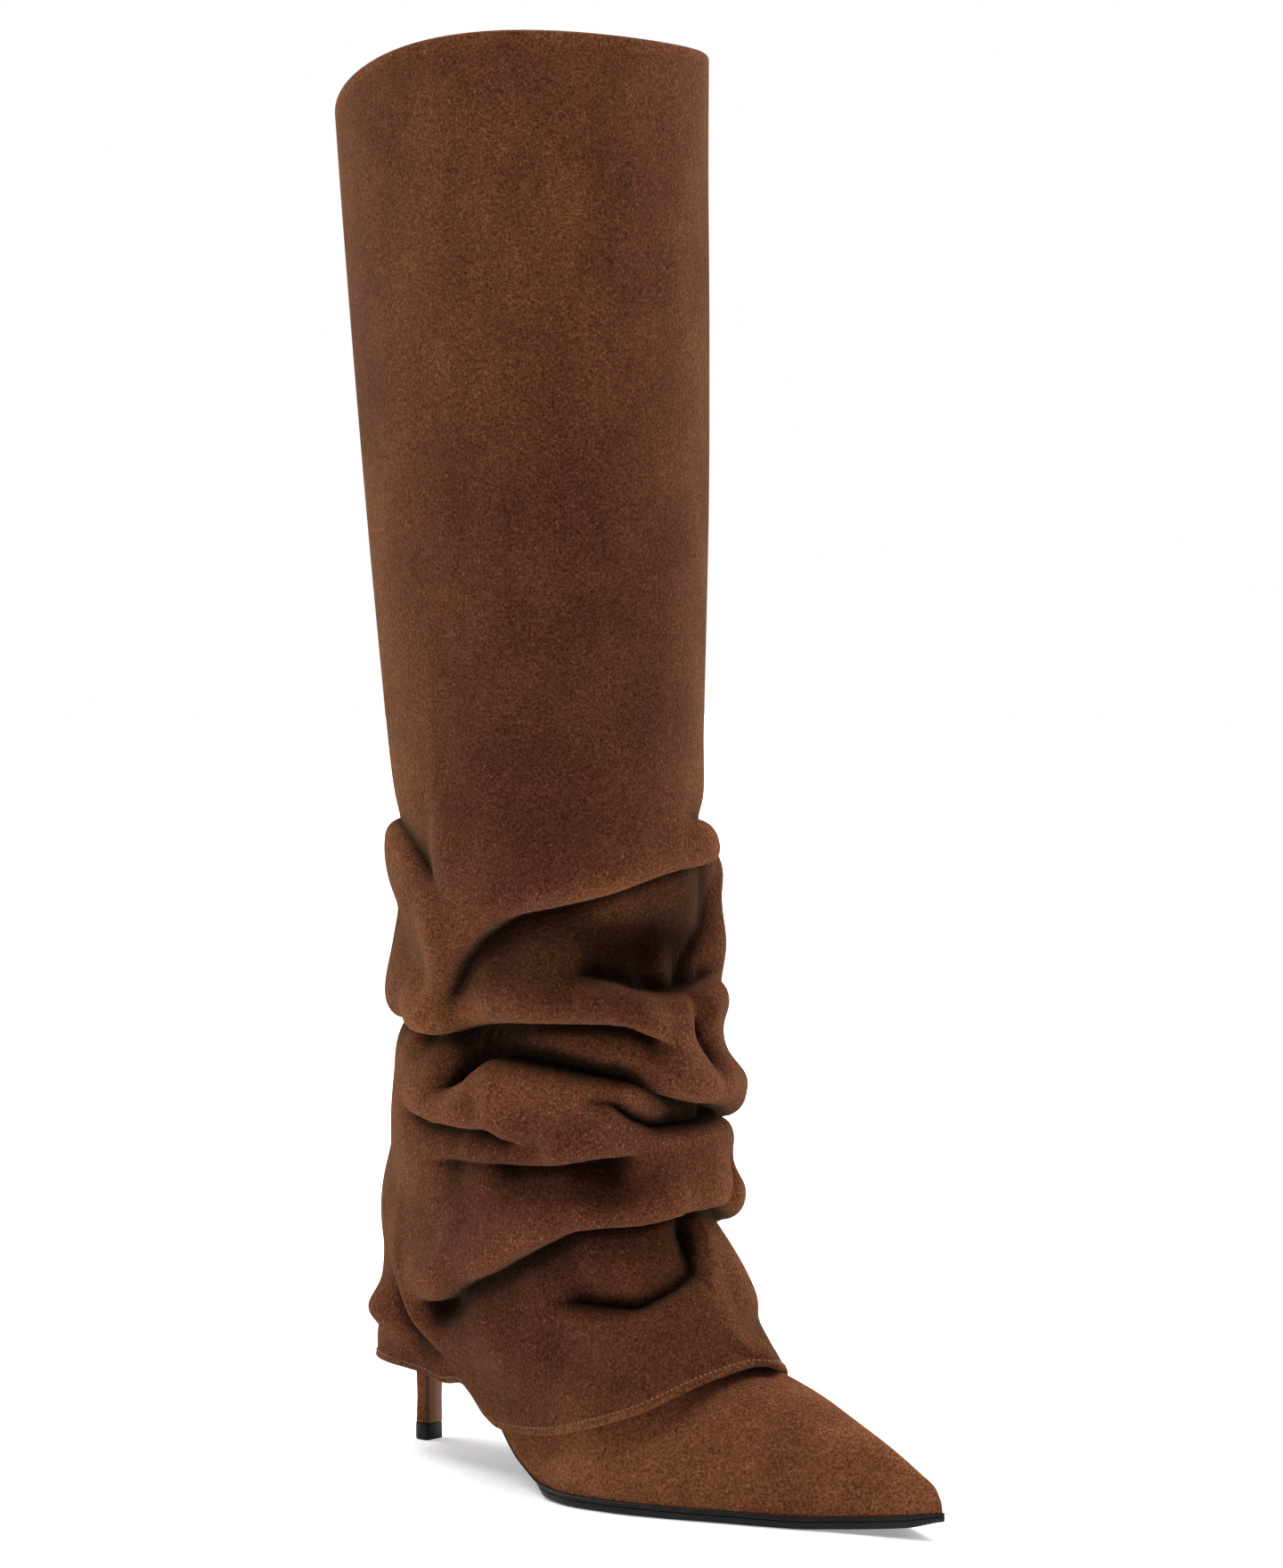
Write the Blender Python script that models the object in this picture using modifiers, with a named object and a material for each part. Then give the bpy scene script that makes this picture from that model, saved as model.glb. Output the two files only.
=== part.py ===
"""Tall slouched dress boot for the right foot, in suede, on a slim covered heel.

Lengths are in millimetres here and are turned into metres when a mesh is made.
X runs to the toe, Y to the inner side of the foot and Z up from the ground.
The tables are measured from the middle of the heel tip; CENTRE moves the boot
so that the origin is under the middle of its box.
"""
import math

import bmesh
import bpy
import numpy as np

OBJECT_NAME = "dress_boot"
MM = 0.001
CENTRE = (100.3, 3.0)

FIT_GAP = 0.3
SOLE_EDGE = 4.0
SHANK_EDGE = 2.7
SOLE_LEDGE = 1.0
UPPER_LIFT = 0.9
UPPER_WALL = 1.8
SHAFT_WALL = 2.0
INSOLE_BOARD = 1.5
TIP_HEIGHT = 5.8
BREAST_COVER = 0.8

# Sole rows: place along the foot, outer edge, inner edge, height of the top edge.
SOLE_ROWS = (
    (-9.5, 0.0, 0.0, 62.0),
    (-6.0, -11.5, 11.5, 60.6),
    (0.0, -18.5, 18.5, 58.0),
    (12.0, -24.0, 24.0, 52.5),
    (30.0, -25.5, 24.5, 43.0),
    (50.0, -27.0, 22.5, 30.5),
    (65.0, -30.0, 23.5, 19.2),
    (80.0, -34.6, 27.5, 9.4),
    (95.0, -38.5, 33.0, 4.7),
    (108.0, -40.2, 36.5, 4.0),
    (124.0, -37.6, 38.3, 4.0),
    (140.0, -32.0, 37.3, 4.0),
    (158.0, -23.6, 33.5, 4.0),
    (179.0, -14.0, 27.0, 4.0),
    (193.0, -6.6, 21.2, 4.8),
    (205.0, -1.4, 16.9, 6.0),
    (215.6, 2.8, 12.7, 7.4),
    (222.4, 5.4, 10.0, 8.5),
    (225.2, 7.7, 7.7, 9.0),
)

# Vamp rows: foot edge, ridge place, ridge height, swell past the foot edge, ridge offset.
VAMP_ROWS = (
    (223.6, 223.2, 12.8, 0.0, 7.7),
    (221.4, 220.8, 16.4, 0.2, 7.8),
    (214.6, 213.8, 20.2, 0.4, 8.0),
    (206.2, 205.4, 24.0, 0.6, 8.2),
    (195.0, 194.4, 28.4, 0.8, 8.4),
    (180.0, 180.0, 33.4, 0.8, 8.4),
    (165.0, 166.0, 38.3, 0.8, 8.2),
    (150.0, 152.0, 42.1, 0.6, 7.8),
    (135.0, 140.0, 44.9, 0.4, 7.0),
    (120.0, 130.0, 50.0, 0.2, 6.2),
    (105.0, 121.0, 58.4, 0.4, 5.4),
    (90.0, 114.0, 69.8, 1.2, 4.8),
    (75.0, 109.0, 83.5, 4.0, 4.2),
    (55.0, 105.0, 93.0, 7.0, 3.6),
    (35.0, 102.0, 101.5, 6.0, 3.2),
    (15.0, 100.0, 109.5, 6.5, 3.0),
    (2.0, 99.0, 117.0, 11.0, 3.0),
    (-6.0, 98.0, 124.0, 20.0, 3.0),
)

# Leg rows of the upper: back place and height, front place and height, half width.
LEG_ROWS = (
    (-8.5, 62.4, 97.5, 130.0, 31.5),
    (-9.5, 76.0, 97.0, 139.0, 31.5),
    (-6.0, 92.0, 97.0, 148.0, 31.0),
    (1.0, 110.0, 97.0, 158.0, 30.5),
    (5.5, 130.0, 97.5, 168.0, 30.5),
    (7.5, 150.0, 98.0, 178.0, 31.0),
    (7.5, 172.0, 99.5, 191.0, 32.5),
    (6.0, 197.0, 103.0, 207.0, 37.6),
    (4.0, 223.0, 107.2, 226.0, 43.0),
)

# Shaft rows: front place and height, back place and height, side height, half width,
# fullness in front and behind (1 is an oval), outward tilt, offset behind and in front.
SHAFT_ROWS = (
    (111.0, 468.6, -24.5, 447.2, 466.8, 57.5, 1.0, 1.0, 0.4, 3.0, 3.0),
    (111.2, 436.0, -22.0, 420.0, 433.0, 56.4, 1.0, 1.0, 1.0, 3.0, 3.0),
    (112.2, 380.0, -17.0, 372.0, 378.0, 54.8, 1.0, 1.0, 1.0, 3.0, 3.0),
    (112.6, 312.0, -10.0, 308.0, 311.0, 52.2, 1.0, 1.0, 0.5, 3.0, 3.0),
    (111.8, 256.0, -3.8, 254.0, 255.0, 49.2, 1.0, 1.0, 0.0, 3.0, 3.0),
    (110.8, 222.0, -0.6, 222.0, 222.0, 47.0, 1.0, 1.0, 0.0, 3.0, 3.0),
    (118.0, 197.0, 0.0, 195.0, 196.0, 48.8, 1.0, 1.0, 0.0, 3.0, 3.0),
    (121.5, 166.0, -1.0, 164.0, 165.0, 48.0, 1.0, 1.0, 0.0, 3.0, 3.0),
    (126.0, 135.0, -3.2, 133.0, 134.0, 46.6, 1.0, 1.0, 0.0, 3.0, 3.2),
    (127.0, 107.0, -8.8, 104.0, 104.0, 44.8, 1.0, 0.98, 0.0, 2.6, 3.8),
    (131.6, 81.4, -12.0, 80.0, 75.4, 43.6, 1.0, 0.98, 0.0, 2.0, 4.8),
    (139.6, 61.0, -14.6, 56.4, 48.4, 41.0, 1.04, 0.98, 0.0, 1.4, 6.4),
)

# Hem rows: turn from the front, place along the foot, height, outer side, inner side.
HEM_ROWS = (
    (0.0, 154.8, 46.0, 9.0, 9.0),
    (15.0, 151.0, 46.1, 2.6, 15.4),
    (30.0, 144.6, 42.7, -11.8, 24.6),
    (45.0, 132.0, 33.6, -30.2, 34.6),
    (60.0, 115.0, 27.0, -37.6, 39.8),
    (75.0, 95.0, 22.2, -38.2, 36.0),
    (90.0, 71.0, 20.4, -34.4, 31.0),
    (105.0, 52.0, 25.6, -30.0, 28.5),
    (120.0, 35.0, 30.2, -28.5, 28.0),
    (140.0, 12.0, 31.8, -26.5, 27.0),
    (160.0, -8.0, 31.4, -17.0, 18.0),
    (180.0, -15.0, 31.0, 0.5, 0.5),
)

# Fold rows: path of the crack as turn and height, side the roll lies on (1 above it, -1 below),
# height of the roll, depth of the crack, round of the roll, fade of the roll, width of the
# hollow on the other side.
FOLD_ROWS = (
    (((-106, 149.5), (-98, 158), (-85, 175), (-75, 183.5), (-65, 188.5), (-50, 191.5), (-30, 195.5),
      (0, 202), (24, 204), (44, 205)), 1, 3.2, 6.0, 9, 24, 17),
    (((4, 219), (60, 217), (120, 221), (170, 218), (215, 217), (244, 214)), -1, 3.2, 1.4, 9, 13, 8),
    (((-52, 170), (-40, 168), (-30, 166.5), (-20, 164), (0, 162.5), (20, 165), (38, 168)),
     -1, 3.6, 4.0, 8, 7, 10),
    (((-124, 151), (-104, 148.5), (-90, 152), (-70, 154.5), (-40, 155), (-30, 154.5), (-22, 152), (-8, 144)),
     1, 4.2, 7.0, 8, 9, 9),
    (((-104, 127.5), (-90, 134), (-85, 138), (-80, 140.5), (-60, 139), (-40, 136), (-30, 134.5), (-12, 130)),
     -1, 4.5, 6.0, 8, 9, 8),
    (((-32, 135), (-18, 131.5), (0, 128), (12, 127), (30, 123), (47, 119), (84, 118)), 1, 5.0, 5.0, 8, 9, 6),
    (((-124, 121), (-110, 120.5), (-100, 119), (-80, 119), (-72, 116), (-62, 112)), 1, 3.5, 5.5, 8, 8, 7),
    (((-48, 130), (-38, 128), (-30, 123), (-20, 120), (0, 120), (14, 121), (34, 123)),
     -1, 2.5, 5.0, 8, 8, 6),
    (((-104, 104.5), (-95, 106), (-80, 106.5), (-60, 107.5), (-50, 109), (-42, 110.5), (-24, 112)),
     1, 2.5, 5.0, 8, 10, 10),
    (((-118, 54), (-100, 60.5), (-90, 67), (-80, 72), (-70, 78), (-60, 83.5), (-50, 88), (-30, 90),
      (-10, 93), (10, 94), (30, 90), (47, 85), (72, 82)), 1, 4.5, 6.5, 9, 9, 10),
    (((-66, 64), (-50, 62.5), (-40, 62), (-30, 65), (-20, 69), (-12, 73), (-8, 79), (4, 95)),
     -1, 2.5, 5.0, 8, 12, 9),
    (((50, 147), (70, 150), (90, 155), (125, 162), (165, 159), (205, 154), (246, 151)),
     1, 3.4, 5.5, 8, 13, 8),
    (((52, 113), (70, 115), (85, 118), (120, 126), (156, 129)), 1, 4.0, 5.0, 8, 9, 7),
    (((50, 87), (75, 78), (100, 68), (122, 59)), 1, 4.5, 5.5, 8, 9, 9),
)

# Dent rows: turn, height, half width round, half width up, depth (below zero stands out).
DENT_ROWS = (
    (-12, 178, 30, 11, 8.0),
    (46, 204, 26, 11, -2.0),
    (80, 183, 40, 12, 3.0),
    (-134, 187, 22, 6, 0.8),
    (48, 175, 18, 11, -2.6),
    (48, 148, 14, 8, 5.0),
    (46, 133, 14, 7, -3.5),
    (48, 105, 12, 6, 6.0),
    (48, 77, 12, 5, -2.5),
    (-38, 102, 22, 6, 4.0),
    (-98, 87, 16, 8, 4.5),
    (48, 96, 14, 9, -1.5),
    (-11, 83, 9, 8, 4.0),
    (-105, 56.5, 9, 6, 4.0),
    (-137, 51, 11, 8, -7.5),
    (118, 53, 9, 6, 4.0),
)
FOLD_FADE = 14.0
HEM_CALM = 14.0
# Millimetres of shaft in one degree of turn.
DEGREE = 0.83

# Heel rows: back place and height, front place and height, half width.
HEEL_ROWS = (
    (-4.8, 6.1, 2.1, 6.1, 4.0),
    (-4.4, 15.0, 2.1, 15.0, 3.85),
    (-4.7, 25.0, 2.4, 23.0, 4.2),
    (-5.5, 36.0, 3.9, 30.0, 5.6),
    (-6.9, 46.5, 7.9, 35.5, 9.7),
    (-8.0, 54.0, 14.5, 40.0, 15.8),
)
HEEL_SEAT = (-8.6, 24.0, 20.5)
# Heel tip: back place, front place, half width.
HEEL_TIP = (-5.0, 2.6, 4.2)

LAST_PLACES = 24
FINE_FROM = 9
SHAFT_PLACES = 42
LEG_STEPS = 5
SLOUCH_STEPS = 32
SKIRT_STEPS = 8
SOLE_STATIONS = 40
HEEL_ARC = 9


def through(keys, values, at):
    """Heights, at the places asked for, of a smooth curve through the rows of a table."""
    keys = np.asarray(keys, float)
    values = np.asarray(values, float)
    at = np.asarray(at, float)
    step = np.diff(keys)
    slope = np.diff(values) / step
    tangent = np.empty_like(values)
    tangent[0] = slope[0]
    tangent[-1] = slope[-1]
    before = slope[:-1]
    after = slope[1:]
    total = np.where(np.abs(before + after) < 1e-9, 1.0, before + after)
    tangent[1:-1] = np.where(before * after > 0, 2 * before * after / total, 0.0)
    i = np.clip(np.searchsorted(keys, at) - 1, 0, len(step) - 1)
    t = (at - keys[i]) / step[i]
    rise = t * t * (3 - 2 * t)
    lead = t * (1 - t) ** 2 * step[i]
    trail = -t * t * (1 - t) * step[i]
    return values[i] * (1 - rise) + values[i + 1] * rise + tangent[i] * lead + tangent[i + 1] * trail


def ease(t):
    """A soft step from 0 to 1."""
    t = np.clip(t, 0.0, 1.0)
    return t * t * (3 - 2 * t)


def column(rows, number):
    """One named column of a table."""
    return [row[number] for row in rows]


SOLE_BACK = SOLE_ROWS[0][0]
SOLE_LENGTH = SOLE_ROWS[-1][0] - SOLE_BACK


def along(x):
    """Half-turn angle of a place along the sole, so that both ends come out round."""
    return np.arccos(np.clip(1 - 2 * (np.asarray(x, float) - SOLE_BACK) / SOLE_LENGTH, -1, 1))


def sole_edges(x):
    """Outer edge, inner edge and top height of the sole at a place along the foot."""
    angle = along(x)
    keys = along(column(SOLE_ROWS, 0))
    outer = through(keys, column(SOLE_ROWS, 1), angle)
    inner = through(keys, column(SOLE_ROWS, 2), angle)
    rise = through(column(SOLE_ROWS, 0), column(SOLE_ROWS, 3), x)
    return outer, inner, rise


def sole_edge(x):
    """Thickness of the sole's edge, full under the ball and thin under the shank."""
    return SHANK_EDGE + (SOLE_EDGE - SHANK_EDGE) * float(ease((x - 60.0) / 30.0))


def add_object(name, points, faces, material):
    """A named mesh object in the boot's collection."""
    mesh = bpy.data.meshes.new(name)
    shifted = [((x - CENTRE[0]) * MM, (y - CENTRE[1]) * MM, z * MM) for x, y, z in points]
    mesh.from_pydata(shifted, [], faces)
    shape = bmesh.new()
    shape.from_mesh(mesh)
    bmesh.ops.remove_doubles(shape, verts=shape.verts, dist=0.00002)
    bmesh.ops.recalc_face_normals(shape, faces=shape.faces)
    shape.to_mesh(mesh)
    shape.free()
    mesh.materials.append(material)
    thing = bpy.data.objects.new(name, mesh)
    parts.objects.link(thing)
    return thing


def strip_faces(rows, places, closed):
    """Quads between neighbouring rings of a loft."""
    faces = []
    turn = places if closed else places - 1
    for row in range(rows - 1):
        for place in range(turn):
            after = (place + 1) % places
            low = row * places
            high = low + places
            faces.append((low + place, low + after, high + after, high + place))
    return faces


def split_faces(points, quads):
    """Each quad as two triangles along its shorter diagonal, which follows the folds."""
    faces = []
    for a, b, c, d in quads:
        if math.dist(points[a], points[c]) <= math.dist(points[b], points[d]):
            faces += [(a, b, c), (a, c, d)]
        else:
            faces += [(a, b, d), (b, c, d)]
    return faces


def solid_loft(name, rings, material):
    """A closed body through rings of equal size, capped at both ends."""
    places = len(rings[0])
    points = [tuple(point) for ring in rings for point in ring]
    faces = strip_faces(len(rings), places, True)
    faces.append(tuple(range(places)))
    last = (len(rings) - 1) * places
    faces.append(tuple(range(last, last + places)))
    return add_object(name, points, faces, material)


def solidify(thing, wall):
    """Gives an open surface a wall on its inner side."""
    shell = thing.modifiers.new("wall", "SOLIDIFY")
    shell.thickness = wall * MM
    shell.offset = -1.0
    shell.use_even_offset = False
    shell.use_quality_normals = True


def make_material(name, colour, roughness):
    """A plain Principled material."""
    material = bpy.data.materials.new(name)
    material.use_nodes = True
    shader = material.node_tree.nodes["Principled BSDF"]
    shader.inputs["Base Color"].default_value = (*colour, 1.0)
    shader.inputs["Roughness"].default_value = roughness
    shader.inputs["Metallic"].default_value = 0.0
    return material


def sole_stations():
    """Places along the foot where the sole's sections stand, closer at both ends."""
    angles = np.linspace(0.06, math.pi - 0.05, SOLE_STATIONS)
    return [float(SOLE_BACK + SOLE_LENGTH * (1 - math.cos(angle)) / 2) for angle in angles]


def make_outsole():
    """The thin outsole, with a rounded edge, flat under the ball and sprung at the toe."""
    rings = []
    for x in sole_stations():
        outer, inner, top = (float(v) for v in sole_edges(x))
        middle = (outer + inner) / 2
        ledge = min(0.8, 0.3 * (inner - outer))
        under = min(1.2, 0.4 * (inner - outer))
        low = top - sole_edge(x)
        rings.append((
            (x, outer + ledge, top), (x, outer, top - 0.6), (x, outer, low + 0.9),
            (x, outer + under, low), (x, middle, low), (x, inner - under, low),
            (x, inner, low + 0.9), (x, inner, top - 0.6), (x, inner - ledge, top), (x, middle, top),
        ))
    solid_loft("outsole", rings, sole_black)


def make_insole():
    """The board inside the upper, lying on the outsole."""
    rings = []
    for x in sole_stations()[5:-6]:
        outer, inner, top = (float(v) for v in sole_edges(x))
        inset = SOLE_LEDGE + UPPER_WALL + 1.4 + 2.0 * float(ease((32 - x) / 24))
        low = top + FIT_GAP
        high = low + INSOLE_BOARD
        outer += inset
        inner -= inset
        rings.append(((x, outer, high), (x, outer, low), (x, inner, low), (x, inner, high)))
    solid_loft("insole", rings, insole_tan)


def upper_rings():
    """Rings of the upper from the toe tip, over the vamp and heel, to the top of the leg."""
    turn = np.linspace(0, math.pi, LAST_PLACES + 1)
    rear = len(VAMP_ROWS) - 1
    places = list(range(FINE_FROM)) + list(np.arange(FINE_FROM, rear + 0.1, 0.5))
    keys = np.arange(len(VAMP_ROWS))
    rings = []
    for place in places:
        foot, ridge_x, ridge_z, swell, ridge_y = (
            float(through(keys, column(VAMP_ROWS, n), place)) for n in range(5))
        outer, inner, top = (float(v) for v in sole_edges(foot))
        half = (inner - outer) / 2 - min(SOLE_LEDGE, 0.3 * (inner - outer))
        low = (foot, (inner + outer) / 2, top + UPPER_LIFT)
        rings.append(upper_ring(turn, low, (ridge_x, ridge_y, ridge_z), half, swell))
    rings[0][:, 1] = VAMP_ROWS[0][4]
    for back_x, back_z, front_x, front_z, half in LEG_ROWS:
        rings.append(upper_ring(turn, (back_x, 3.0, back_z), (front_x, 3.0, front_z), 0.0, half))
    return rings


def upper_ring(turn, low, high, half, swell):
    """One section of the upper, an arch on the sole or a closed loop round the leg."""
    wide = max(half + swell, 0.001)
    shut = swell / wide
    out = wide * ((1 - shut) * np.cos(turn) + shut * np.sin(2 * turn))
    up = (1 - shut) * np.sin(turn) + shut * np.sin(turn) ** 2
    x, y, z = (low[n] + (high[n] - low[n]) * up for n in range(3))
    return np.stack([x, y + out, z], 1)


def make_upper():
    """The foot and ankle of the boot, one thin shell, open underneath and at the top."""
    rings = upper_rings()
    places = len(rings[0])
    points = [tuple(point) for ring in rings for point in ring]
    faces = strip_faces(len(rings), places, False)
    upper = add_object("upper", points, faces, suede)
    solidify(upper, UPPER_WALL)


def hem_points(turn):
    """The lower edge of the skirt at each turn."""
    around = np.degrees(turn)
    rows = [(-row[0], row[1], row[2], row[3]) for row in reversed(HEM_ROWS[1:])]
    rows += [(row[0], row[1], row[2], row[4]) for row in HEM_ROWS]
    rows = [(rows[-2][0] - 360, *rows[-2][1:])] + rows + [(rows[1][0] + 360, *rows[1][1:])]
    keys = column(rows, 0)
    return (through(keys, column(rows, n), around) for n in (1, 3, 2))


def shaft_base(turn, level):
    """Points of the plain shaft without folds: turn is the angle from the front, level runs 0 to 1."""
    c = np.cos(turn)
    s = np.sin(turn)
    rows = []
    for front_x, front_z, back_x, back_z, side_z, half, fore, aft, tilt, back_y, front_y in SHAFT_ROWS:
        fill = 1 + (fore - aft) / 1.414 * c + (fore + aft - 2) * c * c
        x = (front_x + back_x) / 2 + (front_x - back_x) / 2 * c
        y = back_y + (front_y - back_y) * (1 + c) / 2 + half * fill * s
        z = side_z + (front_z - back_z) / 2 * c + ((front_z + back_z) / 2 - side_z) * c * c - tilt * s
        rows.append((x, y, z))
    rows.append(tuple(hem_points(turn)))
    keys = np.arange(len(rows))
    points = np.empty((3, len(turn)))
    for n in range(len(turn)):
        for axis in range(3):
            points[axis, n] = through(keys, [row[axis][n] for row in rows], level[n] * (len(rows) - 1))
    return points


def slouch(turn, height):
    """Outward push of the folds at a turn and height of the plain shaft."""
    around = np.degrees(turn)
    push = np.zeros_like(height)
    for path, side, lip, tuck, turned, roll, hollow in FOLD_ROWS:
        angles = [point[0] for point in path]
        heights = [point[1] for point in path]
        middle = (angles[0] + angles[-1]) / 2
        here = (around - middle + 180) % 360 - 180 + middle
        line = through(angles, heights, np.clip(here, angles[0], angles[-1]))
        fade = ease((here - angles[0]) / FOLD_FADE) * ease((angles[-1] - here) / FOLD_FADE)
        ahead = through(angles, heights, np.clip(here + 1.0, angles[0], angles[-1]))
        steep = np.hypot(1.0, (ahead - line) / DEGREE)
        past = (height - line) * side / steep
        t = np.clip(past / turned, 0.0, 1.0)
        bulge = (lip + tuck) * (1 - (1 - t) ** 3) - tuck
        bulge -= lip * (1 - np.exp(-(np.maximum(past - turned, 0) / roll) ** 2))
        pit = -tuck * np.exp(-np.abs(past / hollow) ** 1.5)
        push += fade * np.where(past > 0, bulge, pit)
    for at, level, wide, tall, depth in DENT_ROWS:
        here = (around - at + 180) % 360 - 180
        push -= depth * np.exp(-(here / wide) ** 2 - ((height - level) / tall) ** 2)
    return push


def shaft_points(turn, level):
    """Points of the shaft with its folds."""
    x, y, z = shaft_base(turn, level)
    nudge = 0.01
    ahead = shaft_base(turn + nudge, level)
    run_x = ahead[0] - x
    run_y = ahead[1] - y
    length = np.hypot(run_x, run_y)
    hem_z = np.array(list(hem_points(turn)))[2]
    push = slouch(turn, z) * ease((z - hem_z) / HEM_CALM)
    return x + run_y / length * push, y - run_x / length * push, z


def make_shaft():
    """The leg of the boot, slouched at the ankle, with a skirt over the foot."""
    leg = 5 / len(SHAFT_ROWS)
    skirt = 10 / len(SHAFT_ROWS)
    levels = list(np.linspace(0, leg, LEG_STEPS)[:-1])
    levels += list(np.linspace(leg, skirt, SLOUCH_STEPS)[:-1])
    levels += list(np.linspace(skirt, 1, SKIRT_STEPS))
    turns = np.linspace(-math.pi, math.pi, SHAFT_PLACES, endpoint=False)
    points = []
    for level in levels:
        x, y, z = shaft_points(turns, np.full_like(turns, level))
        points.extend(zip(x.tolist(), y.tolist(), z.tolist()))
    faces = split_faces(points, strip_faces(len(levels), SHAFT_PLACES, True))
    shaft = add_object("shaft", points, faces, suede)
    solidify(shaft, SHAFT_WALL)


def heel_ring(back, back_z, front, front_z, half):
    """A section of the heel: flat in front, round behind."""
    middle = front - 0.48 * (front - back)
    ring = [(front, -0.86 * half)]
    for angle in np.linspace(-math.pi / 2, math.pi / 2, HEEL_ARC):
        ring.append((middle - (middle - back) * math.cos(angle), half * math.sin(angle)))
    ring.append((front, 0.86 * half))
    return [(x, y, back_z + (front_z - back_z) * (x - back) / (front - back)) for x, y in ring]


def make_heel():
    """The covered heel, a slim stem that spreads under the heel seat."""
    rings = [heel_ring(*row) for row in HEEL_ROWS]
    back, front, half = HEEL_SEAT
    seat = []
    for x, y, z in heel_ring(back, 0.0, front, 0.0, half):
        seat.append((x, y, float(sole_edges(x)[2]) - SHANK_EDGE - 0.5))
    rings.append(seat)
    solid_loft("heel", rings, suede)
    strip = []
    for row in HEEL_ROWS + ((back, 0.0, front, float(sole_edges(front)[2]) - SHANK_EDGE - 1.6, half),):
        near = row[2] + 0.7
        far = near + BREAST_COVER
        wide = 0.8 * row[4]
        strip.append(((near, -wide, row[3]), (far, -wide, row[3]), (far, wide, row[3]), (near, wide, row[3])))
    solid_loft("heel_breast", strip, breast_tan)
    back, front, half = HEEL_TIP
    low = heel_ring(back, 0.0, front, 0.0, half)
    high = heel_ring(back, TIP_HEIGHT, front, TIP_HEIGHT, half)
    solid_loft("heel_tip", [low, high], sole_black)


for old in list(bpy.data.objects):
    bpy.data.objects.remove(old, do_unlink=True)
parts = bpy.data.collections.new(OBJECT_NAME)
bpy.context.scene.collection.children.link(parts)
suede = make_material("suede", (0.10, 0.040, 0.017), 0.92)
sole_black = make_material("sole_black", (0.012, 0.011, 0.011), 0.45)
breast_tan = make_material("breast_tan", (0.24, 0.095, 0.040), 0.45)
insole_tan = make_material("insole_tan", (0.30, 0.20, 0.13), 0.70)
make_outsole()
make_insole()
make_upper()
make_shaft()
make_heel()
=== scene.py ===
"""Tall slouched suede boot: its visible pieces, their finishes, and the studio round it.

Lengths in the tables are millimetres from the middle of the heel tip, with X to the toe,
Y to the inner side of the foot and Z up. They become metres when a mesh is made.
"""
from math import cos, pi, radians, sin

import bmesh
import bpy
import numpy as np
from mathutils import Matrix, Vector


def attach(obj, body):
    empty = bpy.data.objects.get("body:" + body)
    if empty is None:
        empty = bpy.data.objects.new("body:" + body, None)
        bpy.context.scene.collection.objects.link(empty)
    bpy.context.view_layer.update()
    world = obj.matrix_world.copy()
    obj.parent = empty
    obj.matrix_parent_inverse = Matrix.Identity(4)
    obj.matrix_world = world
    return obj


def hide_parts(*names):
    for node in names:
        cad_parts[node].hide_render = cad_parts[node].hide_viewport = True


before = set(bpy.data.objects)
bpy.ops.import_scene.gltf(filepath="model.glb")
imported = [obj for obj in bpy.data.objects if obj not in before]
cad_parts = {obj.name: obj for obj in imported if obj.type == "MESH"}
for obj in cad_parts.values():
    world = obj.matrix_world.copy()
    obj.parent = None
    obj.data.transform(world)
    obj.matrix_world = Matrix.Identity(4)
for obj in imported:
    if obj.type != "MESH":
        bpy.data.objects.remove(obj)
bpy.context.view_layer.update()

bl_info = {
    "name": "Slouched Suede Boot",
    "version": (1, 0, 0),
    "blender": (4, 5, 0),
    "location": "View3D > Sidebar > Boot",
    "description": "Makes the pieces of a tall suede boot with a slouched ankle and a slim heel",
    "category": "Object",
}

MM = 0.001
# Middle of the boot's box from the heel tip, along the foot and across it.
CENTRE = (100.3, 3.0)
# Least number to divide by.
TINY = 1e-9

# Sole edge: thickness under the ball, the shank and the waist, slant at the waist, part left off
# at the toe.
SOLE_EDGE = 4.0
SHANK_EDGE = 2.7
WAIST_EDGE = 1.9
WAIST_BEVEL = 8.0
TOE_THINNING = 0.3
# Places along the foot between which the sole or the insole changes.
SHANK_TO_BALL = (60.0, 90.0)
WAIST_STARTS = (30.0, 44.0)
WAIST_ENDS = (80.0, 98.0)
TOE_THINS = (213.0, 225.0)
HEEL_NARROWS = (32.0, 8.0)

# Sole rows: place along the foot, outer edge, inner edge, height of the top edge.
SOLE_ROWS = (
    (-9.5, 0, 0, 62),
    (-6, -11.5, 11.5, 60.6),
    (0, -18.5, 18.5, 58),
    (12, -24, 24, 52.5),
    (30, -25.5, 24.5, 43),
    (50, -27, 22.5, 30.5),
    (65, -30, 23.5, 19.2),
    (80, -34.6, 27.5, 9.4),
    (95, -38.5, 33, 4.7),
    (108, -40.2, 36.5, 4),
    (124, -37.6, 38.3, 4),
    (140, -32, 37.3, 4),
    (158, -23.6, 33.5, 4),
    (179, -14, 27, 4),
    (193, -6.6, 21.2, 4.8),
    (205, -1.4, 16.9, 6),
    (215.6, 2.8, 12.7, 7.4),
    (222.4, 5.4, 10, 8.5),
    (225.2, 7.7, 7.7, 9),
)

# Sole edge rows: how far in from the outline, part of the way down; the notch is the welt's seam.
EDGE_ROWS = (
    (0.9, 0.0), (0.4, 0.02), (0.12, 0.08), (0.05, 0.2), (0.1, 0.29), (0.45, 0.34), (0.45, 0.37),
    (0.06, 0.42), (0.0, 0.55), (0.05, 0.72), (0.3, 0.88), (0.8, 0.97), (1.4, 1.0),
)
# Widest edge as a part of the sole's width.
EDGE_SHARE = 0.33
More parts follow.
